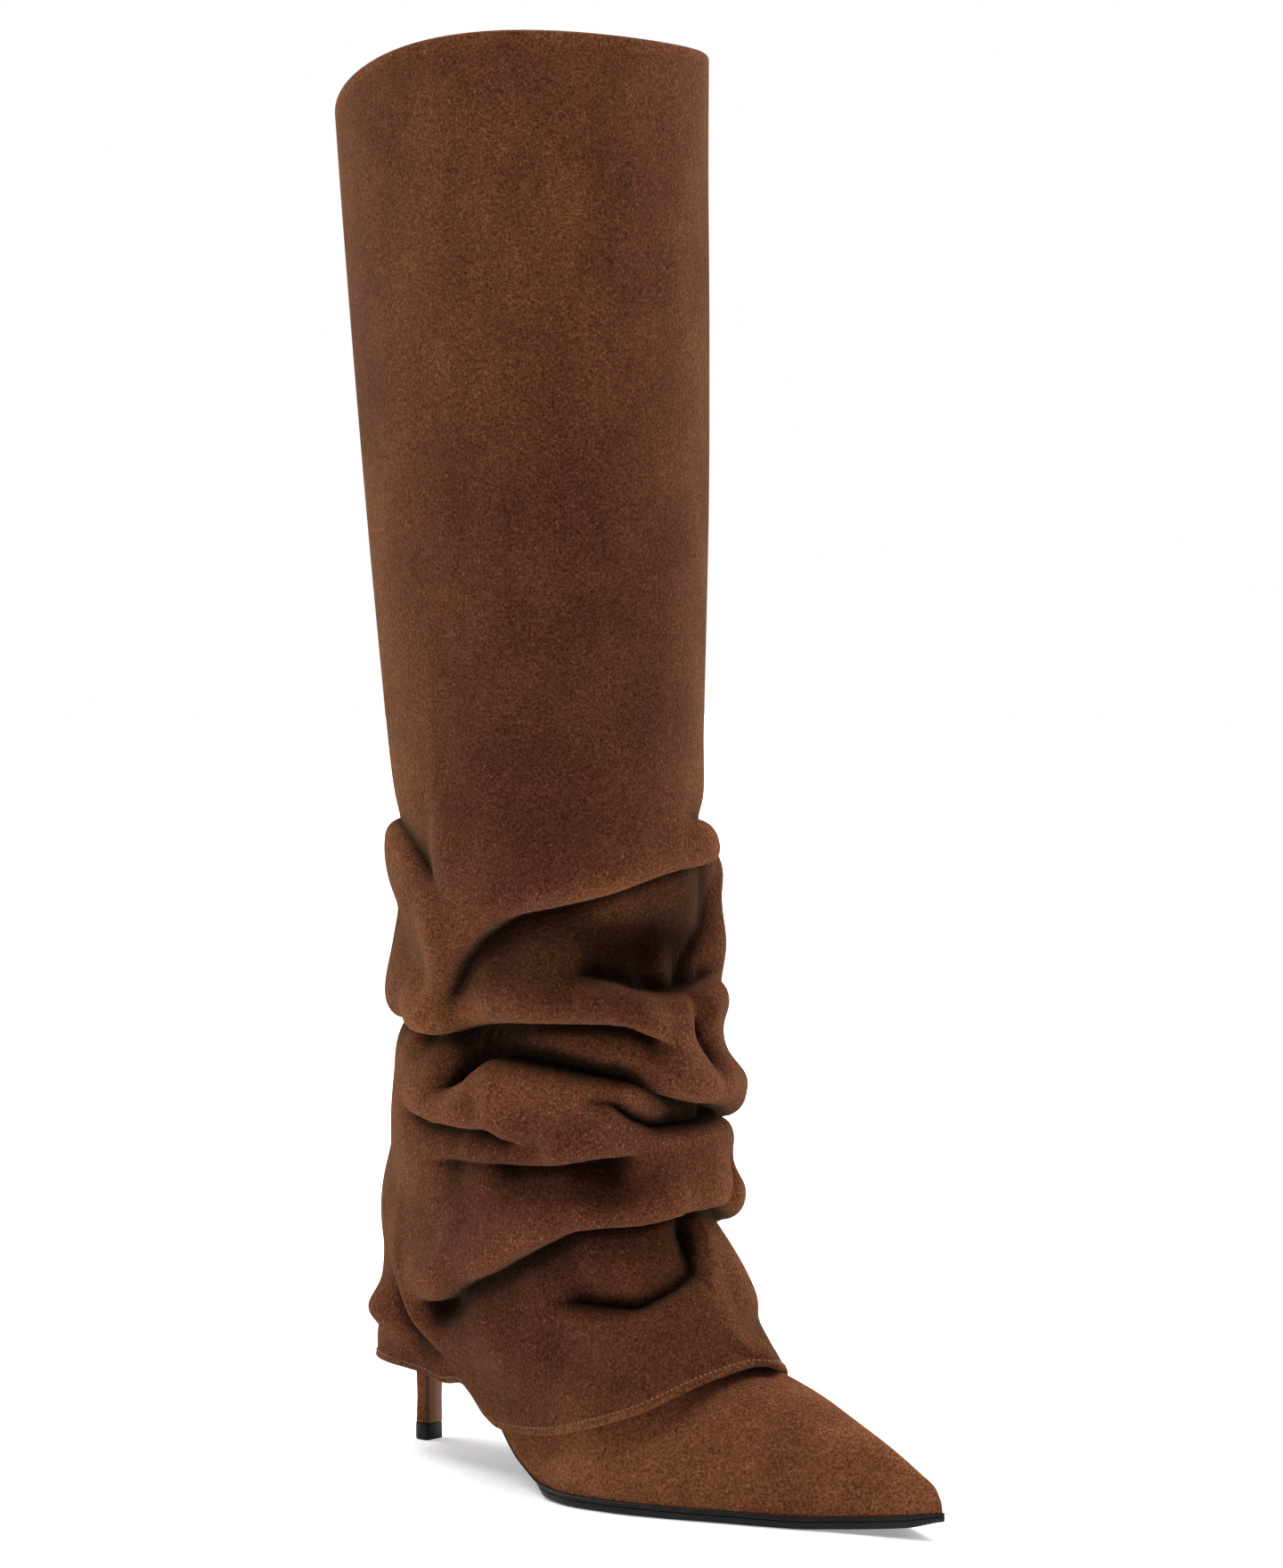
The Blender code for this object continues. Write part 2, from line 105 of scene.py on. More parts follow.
# Sections: half-turn angle left out at the heel and at the toe, number.
SOLE_SECTIONS = (0.03, 0.03, 150)
INSOLE_SECTIONS = (0.47, 0.54, 90)

# Insole: inset, how much more at the heel, height over the sole, thickness, round of its edge,
# rise of its middle, hollow of its underside.
INSOLE = (4.2, 2.0, 0.3, 1.5, 0.4, 0.1, 0.2)

# Vamp rows: foot edge, ridge place, ridge height, swell past the foot edge, ridge offset.
VAMP_ROWS = (
    (224.4, 224, 12.4, 0, 7.7),
    (222, 221.2, 16.4, 0.2, 7.8),
    (214.6, 213.8, 20.2, 0.4, 8),
    (206.2, 205.4, 24, 0.6, 8.2),
    (195, 194.4, 28.4, 0.8, 8.4),
    (180, 180, 33.4, 0.8, 8.4),
    (165, 166, 38.3, 0.8, 8.2),
    (150, 152, 42.1, 0.6, 7.8),
    (135, 140, 44.9, 0.4, 7),
    (120, 130, 50, 0.2, 6.2),
    (105, 121, 58.4, 0.4, 5.4),
    (90, 114, 69.8, 1.2, 4.8),
    (75, 109, 83.5, 4, 4.2),
    (55, 105, 93, 7, 3.6),
    (35, 102, 101.5, 6, 3.2),
    (15, 100, 109.5, 6.5, 3),
    (2, 99, 117, 11, 3),
    (-6, 98, 124, 20, 3),
)

# Leg rows of the upper: back place and height, front place and height, half width.
LEG_ROWS = (
    (-8.5, 62.4, 97.5, 130, 31.5),
    (-9.5, 76, 97, 139, 31.5),
    (-6, 92, 97, 148, 31),
    (1, 110, 97, 158, 30),
    (5.5, 130, 97.5, 168, 29.4),
    (7.5, 150, 98, 178, 30.4),
    (7.5, 172, 99.5, 191, 32.5),
    (6, 197, 103, 207, 37.6),
    (4, 223, 107.2, 226, 43),
)
# Offset of the leg to the inner side.
LEG_OFFSET = 3.0

# Upper: step in from the sole's outline, its most as a part of the sole's width, gap over the sole.
SOLE_LEDGE = 1.0
LEDGE_SHARE = 0.3
UPPER_GAP = 0.1
# Points in a section; sections of the toe tip, the vamp and the leg; least half width.
UPPER_PLACES = 97
TOE_SECTIONS, VAMP_SECTIONS, LEG_SECTIONS = 9, 86, 33
LEAST_HALF = 0.001
# Metres: thickness of the wall, and distance within which points are joined.
UPPER_WALL = 0.0016
JOIN_DISTANCE = 0.00002

# Shaft rows: front place and height, back place and height, side height, half width,
# fullness in front and behind (1 is an oval), outward tilt, offset behind and in front.
SHAFT_ROWS = (
    (111, 468.6, -24.5, 447.2, 466.8, 57.5, 1, 1, 0.4, 3, 3),
    (111.2, 436, -22, 420, 433, 56.4, 1, 1, 1, 3, 3),
    (112.2, 380, -17, 372, 378, 54.8, 1, 1, 1, 3, 3),
    (112.6, 312, -10, 308, 311, 52.2, 1, 1, 0.5, 3, 3),
    (111.8, 256, -3.8, 254, 255, 49.2, 1, 1, 0, 3, 3),
    (110.8, 222, -0.6, 222, 222, 47, 1, 1, 0, 3, 3),
    (118, 197, 0, 195, 196, 48.8, 1, 1, 0, 3, 3),
    (121.5, 166, -1, 164, 165, 48, 1, 1, 0, 3, 3),
    (126, 135, -3.2, 133, 134, 46.6, 1, 1, 0, 3, 3.2),
    (127, 107, -8.8, 104, 104, 44.8, 1, 0.98, 0, 2.6, 3.8),
    (131.6, 81.4, -12, 80, 75.4, 43.6, 1, 0.98, 0, 2, 4.8),
    (139.6, 61, -14.6, 56.4, 48.4, 41, 1.04, 0.98, 0, 1.4, 6.4),
)
# Makes the fullness in front and behind hold an eighth of a turn from the side.
DIAGONAL = 1.414
# Rows of the table at which the plain leg and the folds end; mesh rows of the leg, folds and hem.
LEG_END = 4.8
FOLDS_END = 11.0
LEVEL_COUNTS = (40, 230, 40)

# Hem rows: turn from the front, place along the foot, height and side of the outer edge,
# height and side of the inner edge.
HEM_ROWS = (
    (0, 154.8, 45.3, 9, 45.3, 9),
    (15, 151, 46.1, 2.6, 43.3, 15.4),
    (30, 144.6, 42.7, -11.8, 39.6, 24.6),
    (45, 132, 33.6, -30.2, 32.6, 34.6),
    (60, 115, 27, -37.6, 26.8, 39.8),
    (75, 95, 21.8, -38.2, 21.8, 36),
    (90, 71, 19.7, -34.4, 20.4, 31),
    (97, 62, 21.9, -32.2, 22.8, 29.5),
    (104, 53, 27.6, -30.2, 25.2, 28.6),
    (109, 47, 30.6, -29.4, 27, 28.3),
    (117, 38, 29.4, -28.6, 29.4, 28),
    (126, 28, 31.2, -28.2, 31, 27.8),
    (140, 12, 31.8, -26.5, 31.8, 27),
    (160, -8, 31.4, -17, 31.4, 18),
    (180, -15, 31, 0.5, 31, 0.5),
)

# Fold rows: path of the crack as turn and height, side the roll lies on (1 above it, -1 below),
# height of the roll, depth of the crack, round of the roll, fade of the roll, width of the
# hollow on the other side, overhang.
FOLD_ROWS = (
    (((-106, 149.5), (-98, 158), (-85, 175), (-75, 183.5), (-65, 188.5), (-50, 191.5), (-30, 195.5),
      (0, 202), (24, 204), (44, 205)), 1, 3.2, 7.5, 9, 24, 24, 2.5),
    (((4, 219), (60, 217), (120, 221), (170, 218), (215, 217), (238, 214), (254, 206), (272, 193)),
     -1, 3.2, 2.2, 7, 13, 8, 0.5),
    (((-52, 170), (-40, 168), (-30, 166.5), (-20, 164), (0, 162.5), (20, 165), (38, 168)),
     -1, 3.6, 6, 6, 7, 10, 1),
    (((0, 155), (10, 163), (20, 171), (33, 182), (47, 201), (60, 213)), -1, 1.8, 3, 5, 8, 12, 0),
    (((-124, 151), (-104, 148.5), (-90, 152), (-70, 154.5), (-40, 155), (-30, 154.5), (-22, 152),
      (-8, 144)), 1, 4.2, 10, 5, 9, 9, 3),
    (((-104, 127.5), (-90, 134), (-85, 138), (-80, 140.5), (-60, 139), (-40, 136), (-30, 134.5),
      (-12, 130)), -1, 4.5, 9, 6, 9, 8, 1.5),
    (((-32, 135), (-18, 131.5), (0, 128), (12, 127), (30, 123), (47, 119), (84, 118)),
     1, 5, 6, 7, 9, 5, 2.5),
    (((-124, 121), (-110, 120.5), (-100, 119), (-80, 119), (-72, 116), (-62, 112)),
     1, 3.5, 7.5, 5, 8, 7, 2.5),
    (((-48, 130), (-38, 128), (-30, 123), (-20, 120), (0, 120), (14, 121), (34, 123)),
     -1, 2.5, 7, 5, 8, 6, 1),
    (((-108, 104), (-95, 106), (-80, 106.5), (-60, 107.5), (-50, 109), (-42, 110.5), (-24, 112)),
     1, 1.2, 2.4, 6, 10, 10, 0.8),
    (((-84, 106.5), (-60, 107.5), (-50, 109), (-42, 110.5), (-24, 112)), 1, 1.3, 2.8, 6, 10, 10, 0.8),
    (((-118, 54), (-100, 60.5), (-90, 67), (-80, 72), (-70, 78), (-60, 83.5), (-50, 88), (-30, 90),
      (-10, 93), (10, 94), (30, 90), (47, 85), (72, 82)), 1, 4.5, 7.5, 7, 9, 10, 3),
    (((-66, 64), (-50, 62.5), (-40, 62), (-30, 65), (-20, 69), (-12, 73), (-8, 79), (4, 95)),
     -1, 2.5, 5, 7, 12, 9, 1),
    (((-134, 68), (-125, 58), (-118, 46), (-106, 32.5)), 1, 1.5, 4, 5, 8, 5, 0.5),
    (((50, 147), (70, 150), (90, 155), (125, 162), (165, 159), (205, 154), (246, 151)),
     1, 3.4, 6, 7, 13, 8, 3),
    (((52, 113), (70, 115), (85, 118), (120, 126), (156, 129)), 1, 4, 5.5, 6, 9, 7, 2.5),
    (((50, 87), (75, 78), (100, 68), (122, 59)), 1, 4.5, 6, 6, 9, 9, 2.5),
)
# Degrees in which a fold fades out at its ends, and height above the hem in which all folds do.
FOLD_FADE = 14.0
HEM_CALM = 9.0
# Millimetres of shaft in one degree of turn.
DEGREE = 0.83
# Shape of a fold: how sharply its hollow ends, and what brings the most overhang to one.
HOLLOW_POWER = 1.5
OVERHANG_PEAK = 6.75

# Dent rows: turn, height, half width round, half width up, depth (below zero stands out).
DENT_ROWS = (
    (-8, 178, 30, 13, 11.5),
    (46, 204, 26, 11, -2),
    (32, 214, 8, 7, 2),
    (80, 183, 44, 14, 1.6),
    (-134, 187, 22, 6, 0.8),
    (48, 175, 18, 11, -1.6),
    (48, 148, 14, 8, 5),
    (46, 133, 14, 7, -3.5),
    (60, 105, 26, 6, 5.5),
    (48, 77, 12, 5, -2.5),
    (6, 151, 4, 7, 5.5),
    (11, 141, 5, 7, 6),
    (-63, 113, 4, 5, 3),
    (19, 100, 3.5, 8, 4),
    (-39, 102, 14, 8, 5),
    (-28, 161, 44, 10, 3.5),
    (48, 96, 14, 9, -1.5),
    (-11, 83, 6, 7, 6),
    (-105, 56.5, 8, 6, 5),
    (-136, 50, 11, 8, -7),
    (118, 53, 10, 7, 2.2),
    (20, 54, 18, 5, 2.4),
)

# Painted patch rows, painted light and shade on the shaft: turn, height, half width round, half width
# up, how much lighter (below zero darker, painted shade).
PAINTED_PATCH_ROWS = (
    (-42, 442, 60, 30, 0.08),
    (-106, 450, 26, 34, -0.26),
    (-40, 270, 60, 70, -0.17),
    (-10, 176, 36, 14, -0.45),
    (-68, 172, 24, 12, -0.22),
    (18, 190, 24, 12, -0.40),
    (-22, 160, 44, 6, -0.28),
    (-44, 131, 34, 6, 0.10),
    (-5, 124, 24, 5, -0.28),
    (-18, 80, 20, 10, -0.22),
    (-36, 101, 16, 8, -0.20),
)

# Ripple rows: waves round the shaft, millimetres from wave to wave upwards, phase, height.
RIPPLE_ROWS = (
    (3, 61, 0.4, 0.5),
    (5, 43, 2.1, 0.4),
    (8, 31, 4, 0.3),
)
# Height at which the ripples end, and over what length.
RIPPLE_TOP = 215.0
RIPPLE_FADE = 25.0

# Relief rows, for the painted shade in the hollows and the painted highlight on the rolls of the
# folds: mesh rows and places of the window that a push is set against, push of full relief.
RELIEF_ROWS = (
    (8, 6, 2.5),
    (30, 20, 5.0),
)
# How much lighter the suede is made along its cut edges, and how far from each edge.
EDGE_LIGHTER = 0.35
COLLAR_LIGHTER = 2.5
HEM_LIGHTER = 1.6
# Turned hem: height of its band, how far past the stitches it goes, length in which it ends.
HEM_BAND = (0.45, 0.2, 1.4)
# Groove of the stitches: depth, how far above them, half width.
STITCH_GROOVE = (0.35, 0.1, 0.55)
# Turned edges: steps of the roll, mesh rows that run back behind the hem and behind the collar.
EDGE_STEPS = 8
HEM_RETURN = 9
COLLAR_RETURN = 7
# Lining: mesh rows of the shaft that it covers, how far behind the suede.
LINING_ROWS = slice(3, 36)
LINING_DEPTH = 2.0

# Stitches: places round the hem, level at which the search for their line starts and its rows,
# part of the pitch at which each starts and ends, sides of the thread.
STITCH_PLACES = 720
STITCH_TOP = 0.985
STITCH_LEVELS = 40
STITCH_START, STITCH_END = 0.12, 0.88
THREAD_SIDES = 6
# Stitch rows: lift off the suede, part of the thread's radius.
STITCH_ROWS = (
    (-0.25, 0.5),
    (0.12, 0.95),
    (0.2, 1.0),
    (0.12, 0.95),
    (-0.25, 0.5),
)

# Heel rows: back place and height, front place and height, half width.
HEEL_ROWS = (
    (-4.8, 6.1, 2.1, 6.1, 4),
    (-4.4, 15, 2.1, 15, 3.85),
    (-4.7, 25, 2.4, 23, 4.2),
    (-5.5, 36, 3.9, 30, 5.6),
    (-6.9, 46.5, 7.9, 35.5, 9.7),
    (-8, 54, 14.5, 40, 15.8),
)
# Heel seat: back place, front place, half width, gap under the sole.
HEEL_SEAT = (-8.6, 24.0, 20.5)
SEAT_GAP = 0.1
HEEL_SECTIONS = 40
# Heel section: points round the back; part of the depth before the round and before the corners;
# half width of the flat front and of the corners, as parts of the whole.
HEEL_ARC = 31
HEEL_SECTION = (0.48, 0.03, 0.82, 0.875)
# Smooth front: lead before the heel, part of its width, thickness, bevel, part between the bevels;
# gap under the sole; which of its corners are inked.
BREAST = (0.15, 0.8, 0.95, 0.25, 0.93)
BREAST_GAP = 1.0
BREAST_INK = (1.0, 1.0, 0.0, 0.0, 1.0, 1.0)
# Heel tip rows: back place, front place, half width, height.
TIP_ROWS = (
    (-4.7, 2.3, 3.9, 0.0),
    (-4.95, 2.55, 4.15, 0.3),
    (-5.0, 2.6, 4.2, 0.8),
    (-5.0, 2.6, 4.2, 5.2),
    (-4.9, 2.5, 4.1, 5.6),
    (-4.7, 2.3, 4.0, 5.8),
)

# Suede noises (cloud, patch, nap, fibre, speck): waves a metre, detail, roughness, stretch.
SUEDE_NOISES = (
    (13.0, 3.0, 0.55),
    (75.0, 3.0, 0.6, (1.0, 1.0, 0.5)),
    (1000.0, 3.0, 0.68),
    (1700.0, 2.0, 0.6),
    (1150.0, 2.0, 0.5, (1.0, 1.0, 0.8)),
)
# Cloud noise at the three tints of the suede.
CLOUD_STOPS = (0.34, 0.50, 0.66)
# Mottles (patch, nap, fibre): strength, then noise and grey at the dark end and at the light end.
MOTTLES = (
    (0.45, 0.32, 0.34, 0.68, 0.66),
    (0.85, 0.34, 0.22, 0.68, 0.78),
    (0.55, 0.36, 0.22, 0.66, 0.78),
)
# Bright specks, light-coloured nap tips and partly painted glints of the nap catching the light: noise
# where they start and are full, their share there, brightness.
SPECK_SPAN = (0.62, 0.71, 0.0, 0.55)
SPECK_BRIGHT = 2.3
# Shade of the folds, from the deepest hollow at 0 to the highest roll at 1.
SHADE_STOPS = (
    (0.0, (0.070, 0.070, 0.095)),
    (0.20, (0.21, 0.21, 0.26)),
    (0.38, (0.59, 0.60, 0.64)),
    (0.5, (0.74, 0.74, 0.74)),
    (0.75, (0.86, 0.86, 0.86)),
    (1.0, (1.0, 1.0, 1.0)),
)
# Brightness of the suede with and without that painted shade; the plain suede of the foot and heel is
# painted brighter, a painted highlight for the lit toe.
FOLDED_BRIGHT = 1.14
PLAIN_BRIGHT = 1.34
# Leathers: darker tone as a part of the colour, grains a metre, roughness.
LINING_LEATHER = (0.8, 1500.0, 0.6)
BREAST_LEATHER = (0.72, 1300.0, 0.55)
# What is left of the leather's tone where its edge is inked.
INKED_TONE = 0.12
SOLE_ROUGHNESS = 0.42
TIP_ROUGHNESS = 0.5

# Light rows: name, its strength among the lights, softness in degrees, then the way to it:
# to the camera, to the camera's right, up.
LIGHT_ROWS = (
    ("key_left", "key", 34, -0.24, -0.34, 0.91),
    ("key_right", "key", 34, -0.20, 0.36, 0.91),
    ("left", "left", 60, -0.34, -0.82, 0.46),
    ("right", "right", 60, -0.34, 0.82, 0.46),
)
# Metres: half the floor's side, and how far the camera sees.
FLOOR_HALF = 9
SIGHT = 30.0

# Camera: turn round the boot, distance and height from the heel tip, focal length in pixels,
# size of the picture, where the heel tip and the boot's middle lie in it, width of the sensor.
CAMERA_TURN = 47.5
CAMERA_DISTANCE = 1310.0
CAMERA_HEIGHT = 278.0
FOCAL_PIXELS = 4257.5
PICTURE = (1440, 1760)
HEEL_PIXEL = (298.0, 1622.0)
BOOT_MIDDLE_PIXEL = (537.5, 883.5)
SENSOR = 36.0


def through(keys, values, at):
    """Values of a smooth curve through the rows of a table; each value may itself be an array."""
    keys = np.asarray(keys, float)
    values = np.asarray(values, float)
    at = np.asarray(at, float)
    shape = (-1,) + (1,) * (values.ndim - 1)
    step = np.diff(keys)
    slope = np.diff(values, axis=0) / step.reshape(shape)
    tangent = np.empty_like(values)
    tangent[0] = slope[0]
    tangent[-1] = slope[-1]
    before = slope[:-1]
    after = slope[1:]
    total = np.where(np.abs(before + after) < TINY, 1.0, before + after)
    tangent[1:-1] = np.where(before * after > 0, 2 * before * after / total, 0.0)
    i = np.clip(np.searchsorted(keys, at) - 1, 0, len(step) - 1)
    t = (at - keys[i]) / step[i]
    width = step[i]
    if values.ndim > 1:
        t = t.reshape(shape)
        width = width.reshape(shape)
    rise = t * t * (3 - 2 * t)
    lead = t * (1 - t) ** 2 * width
    trail = -t * t * (1 - t) * width
    return values[i] * (1 - rise) + values[i + 1] * rise + tangent[i] * lead + tangent[i + 1] * trail


def ease(t):
    """A soft step from 0 to 1."""
    t = np.clip(t, 0.0, 1.0)
    return t * t * (3 - 2 * t)


def between(x, places):
    """A soft step from 0 at the first of two places to 1 at the second."""
    start, end = places
    return float(ease((x - start) / (end - start)))


def unit(vectors):
    """Vectors of length one."""
    return vectors / np.maximum(np.linalg.norm(vectors, axis=-1, keepdims=True), TINY)


def column(rows, number):
    """One column of a table."""
    return [row[number] for row in rows]


def row_at(rows, place):
    """A row of a table at a place between its own rows."""
    keys = np.arange(len(rows))
    return [float(through(keys, column(rows, n), place)) for n in range(len(rows[0]))]


SOLE_BACK = SOLE_ROWS[0][0]
SOLE_LENGTH = SOLE_ROWS[-1][0] - SOLE_BACK


def along(x):
    """Half-turn angle of a place along the sole, so that both ends come out round."""
    return np.arccos(np.clip(1 - 2 * (np.asarray(x, float) - SOLE_BACK) / SOLE_LENGTH, -1, 1))


def sole_edges(x):
    """Outer edge, inner edge and top height of the sole at places along the foot."""
    angle = along(x)
    keys = along(column(SOLE_ROWS, 0))
    outer = through(keys, column(SOLE_ROWS, 1), angle)
    inner = through(keys, column(SOLE_ROWS, 2), angle)
    rise = through(column(SOLE_ROWS, 0), column(SOLE_ROWS, 3), x)
    return outer, inner, rise


def sole_edge(x):
    """Thickness of the sole's edge at a place along the foot, and how far the edge slants in."""
    deep = SHANK_EDGE + (SOLE_EDGE - SHANK_EDGE) * between(x, SHANK_TO_BALL)
    deep *= 1 - TOE_THINNING * between(x, TOE_THINS)
    waist = between(x, WAIST_STARTS) * (1 - between(x, WAIST_ENDS))
    return deep + waist * (WAIST_EDGE - deep), waist * WAIST_BEVEL


def sole_bottom(x):
    """Height of the sole's underside over the heel."""
    return float(sole_edges(x)[2]) - SHANK_EDGE


def sole_sections(heel_end, toe_end, count):
    """Places along the sole, closer at its ends, with outer edge, inner edge and top height."""
    sections = []
    for angle in np.linspace(heel_end, pi - toe_end, count):
        x = SOLE_BACK + SOLE_LENGTH * (1 - cos(angle)) / 2
        sections.append((x, *(float(v) for v in sole_edges(x))))
    return sections


def hem_points(turn):
    """The lower edge of the skirt at each turn."""
    around = np.degrees(turn)
    rows = [(-row[0], row[1], row[2], row[3]) for row in reversed(HEM_ROWS[1:])]
    rows += [(row[0], row[1], row[4], row[5]) for row in HEM_ROWS]
    rows = [(rows[-2][0] - 360, *rows[-2][1:])] + rows + [(rows[1][0] + 360, *rows[1][1:])]
    keys = column(rows, 0)
    return [through(keys, column(rows, n), around) for n in (1, 3, 2)]


def shaft_base(turn, level):
    """Grid of the plain shaft without folds: one row for each level, one place for each turn."""
    c = np.cos(turn)
    s = np.sin(turn)
    rows = []
    for front_x, front_z, back_x, back_z, side_z, half, fore, aft, tilt, back_y, front_y in SHAFT_ROWS:
        fill = 1 + (fore - aft) / DIAGONAL * c + (fore + aft - 2) * c * c
        x = (front_x + back_x) / 2 + (front_x - back_x) / 2 * c
        y = back_y + (front_y - back_y) * (1 + c) / 2 + half * fill * s
        z = side_z + (front_z - back_z) / 2 * c + ((front_z + back_z) / 2 - side_z) * c * c - tilt * s
        rows.append(np.stack([x, y, z], 1))
    rows.append(np.stack(hem_points(turn), 1))
    return through(np.arange(len(rows)), np.array(rows), level * (len(rows) - 1))


def turn_from(around, at):
    """Degrees from one turn to others, the short way round."""
    return (around - at + 180) % 360 - 180


def spot(around, height, at, level, wide, tall):
    """A soft round spot on the shaft, 1 in its middle."""
    return np.exp(-(turn_from(around, at) / wide) ** 2 - ((height - level) / tall) ** 2)


def slouch(around, height, strength):
    """Outward push and drop of the folds at turns, in degrees, and heights of the plain shaft."""
    push = np.zeros_like(height)
    drop = np.zeros_like(height)
    for path, side, lip, tuck, turned, roll, hollow, sag in FOLD_ROWS:
        angles = column(path, 0)
        heights = column(path, 1)
        middle = (angles[0] + angles[-1]) / 2
        here = turn_from(around, middle) + middle
        line = through(angles, heights, np.clip(here, angles[0], angles[-1]))
        fade = ease((here - angles[0]) / FOLD_FADE) * ease((angles[-1] - here) / FOLD_FADE)
        ahead = through(angles, heights, np.clip(here + 1.0, angles[0], angles[-1]))
        steep = np.hypot(1.0, (ahead - line) / DEGREE)
        past = (height - line) * side / steep
        t = np.clip(past / turned, 0.0, 1.0)
        bulge = (lip + tuck) * (1 - (1 - t) ** 3) - tuck
        bulge -= lip * (1 - np.exp(-(np.maximum(past - turned, 0) / roll) ** 2))
        pit = -tuck * np.exp(-np.abs(past / hollow) ** HOLLOW_POWER)
        push += fade * np.where(past > 0, bulge, pit)
        drop += fade * sag * side * OVERHANG_PEAK * t * (1 - t) ** 2
    for *place, depth in DENT_ROWS:
        push -= depth * spot(around, height, *place)
    still = ease((RIPPLE_TOP - height) / RIPPLE_FADE)
    for waves, length, phase, high in RIPPLE_ROWS:
        push += still * high * np.sin(waves * np.radians(around) + 2 * pi * height / length + phase)
    return push * strength, drop * strength


def painted_patches(around, height):
    """How much lighter the suede is painted at turns, in degrees, and heights of the plain shaft:
    painted light and shade.
    """
    lighter = np.zeros_like(height)
    for *place, tone in PAINTED_PATCH_ROWS:
        lighter += tone * spot(around, height, *place)
    return lighter


def surface_normals(points):
    """Outward directions of a closed grid: rows run down, places anticlockwise from above."""
    down = np.gradient(points, axis=0)
    round_about = np.roll(points, -1, axis=1) - np.roll(points, 1, axis=1)
    return unit(np.cross(down, round_about))


def shaft_grid(turn, level, strength):
    """Grid of the shaft with its folds, and how far each point was pushed."""
    base = shaft_base(turn, level)
    run = np.roll(base, -1, axis=1) - np.roll(base, 1, axis=1)
    length = np.hypot(run[..., 0], run[..., 1])
    around = np.broadcast_to(np.degrees(turn)[None, :], base.shape[:2])
    push, drop = slouch(around, base[..., 2], strength)
    calm = ease((base[..., 2] - hem_points(turn)[2][None, :]) / HEM_CALM)
    push = push * calm
    points = base.copy()
    points[..., 0] += run[..., 1] / length * push
    points[..., 1] -= run[..., 0] / length * push
    points[..., 2] -= drop * calm
    return points, push


def smoothed(values, rows, places):
    """A grid averaged over a window; places wrap round."""
    total = np.zeros_like(values)
    for shift in range(-places, places + 1):
        total += np.roll(values, shift, axis=1)
    total /= 2 * places + 1
    padded = np.concatenate([np.repeat(total[:1], rows, 0), total, np.repeat(total[-1:], rows, 0)])
    sums = np.cumsum(np.concatenate([np.zeros_like(padded[:1]), padded]), axis=0)
    return (sums[2 * rows + 1:] - sums[:-2 * rows - 1]) / (2 * rows + 1)


def add(name, data):
    """An object in the scene with this mesh, light or camera."""
    thing = bpy.data.objects.new(name, data)
    bpy.context.scene.collection.objects.link(thing)
    return thing


def mesh_piece(name, points, faces, material):
    """A mesh object from points in table millimetres."""
    mesh = bpy.data.meshes.new(name)
    places = np.array(points, float).reshape(-1, 3) - (*CENTRE, 0.0)
    mesh.from_pydata((places * MM).tolist(), [], faces)
    mesh.validate()
    mesh.polygons.foreach_set("use_smooth", [True] * len(mesh.polygons))
    mesh.materials.append(material)
    return add(name, mesh)


def grid_faces(rows, places, closed):
    """Quads of a grid, facing out if its rows run down and its places anticlockwise from above."""
    place = np.arange(places if closed else places - 1)
    after = (place + 1) % places
    faces = []
    for row in range(rows - 1):
        low = row * places
        high = low + places
        faces += np.stack([low + place, high + place, high + after, low + after], 1).tolist()
    return faces


def face_out(piece, join=None):
    """Turns all faces outward, once points closer than a distance in metres are joined."""
    shape = bmesh.new()
    shape.from_mesh(piece.data)
    if join:
        bmesh.ops.remove_doubles(shape, verts=shape.verts, dist=join)
    bmesh.ops.recalc_face_normals(shape, faces=shape.faces)
    shape.to_mesh(piece.data)
    shape.free()


def capped_loft(name, rings, material):
    """A closed body through rings of equal size, capped at both ends, facing out."""
    rings = np.asarray(rings, float)
    count, places = rings.shape[:2]
    faces = grid_faces(count, places, True)
    faces.append(list(range(places)))
    faces.append(list(range((count - 1) * places, count * places))[::-1])
    piece = mesh_piece(name, rings, faces, material)
    face_out(piece)
    return piece


def store(piece, name, values):
    """Keeps a number on each point of a piece for its finish."""
    stored = piece.data.attributes.new(name, "FLOAT", "POINT")
    stored.data.foreach_set("value", np.asarray(values, np.float32).ravel())


def sharpen(piece, degrees):
    """Keeps edges steeper than this angle crisp."""
    piece.data.set_sharp_from_angle(angle=radians(degrees))


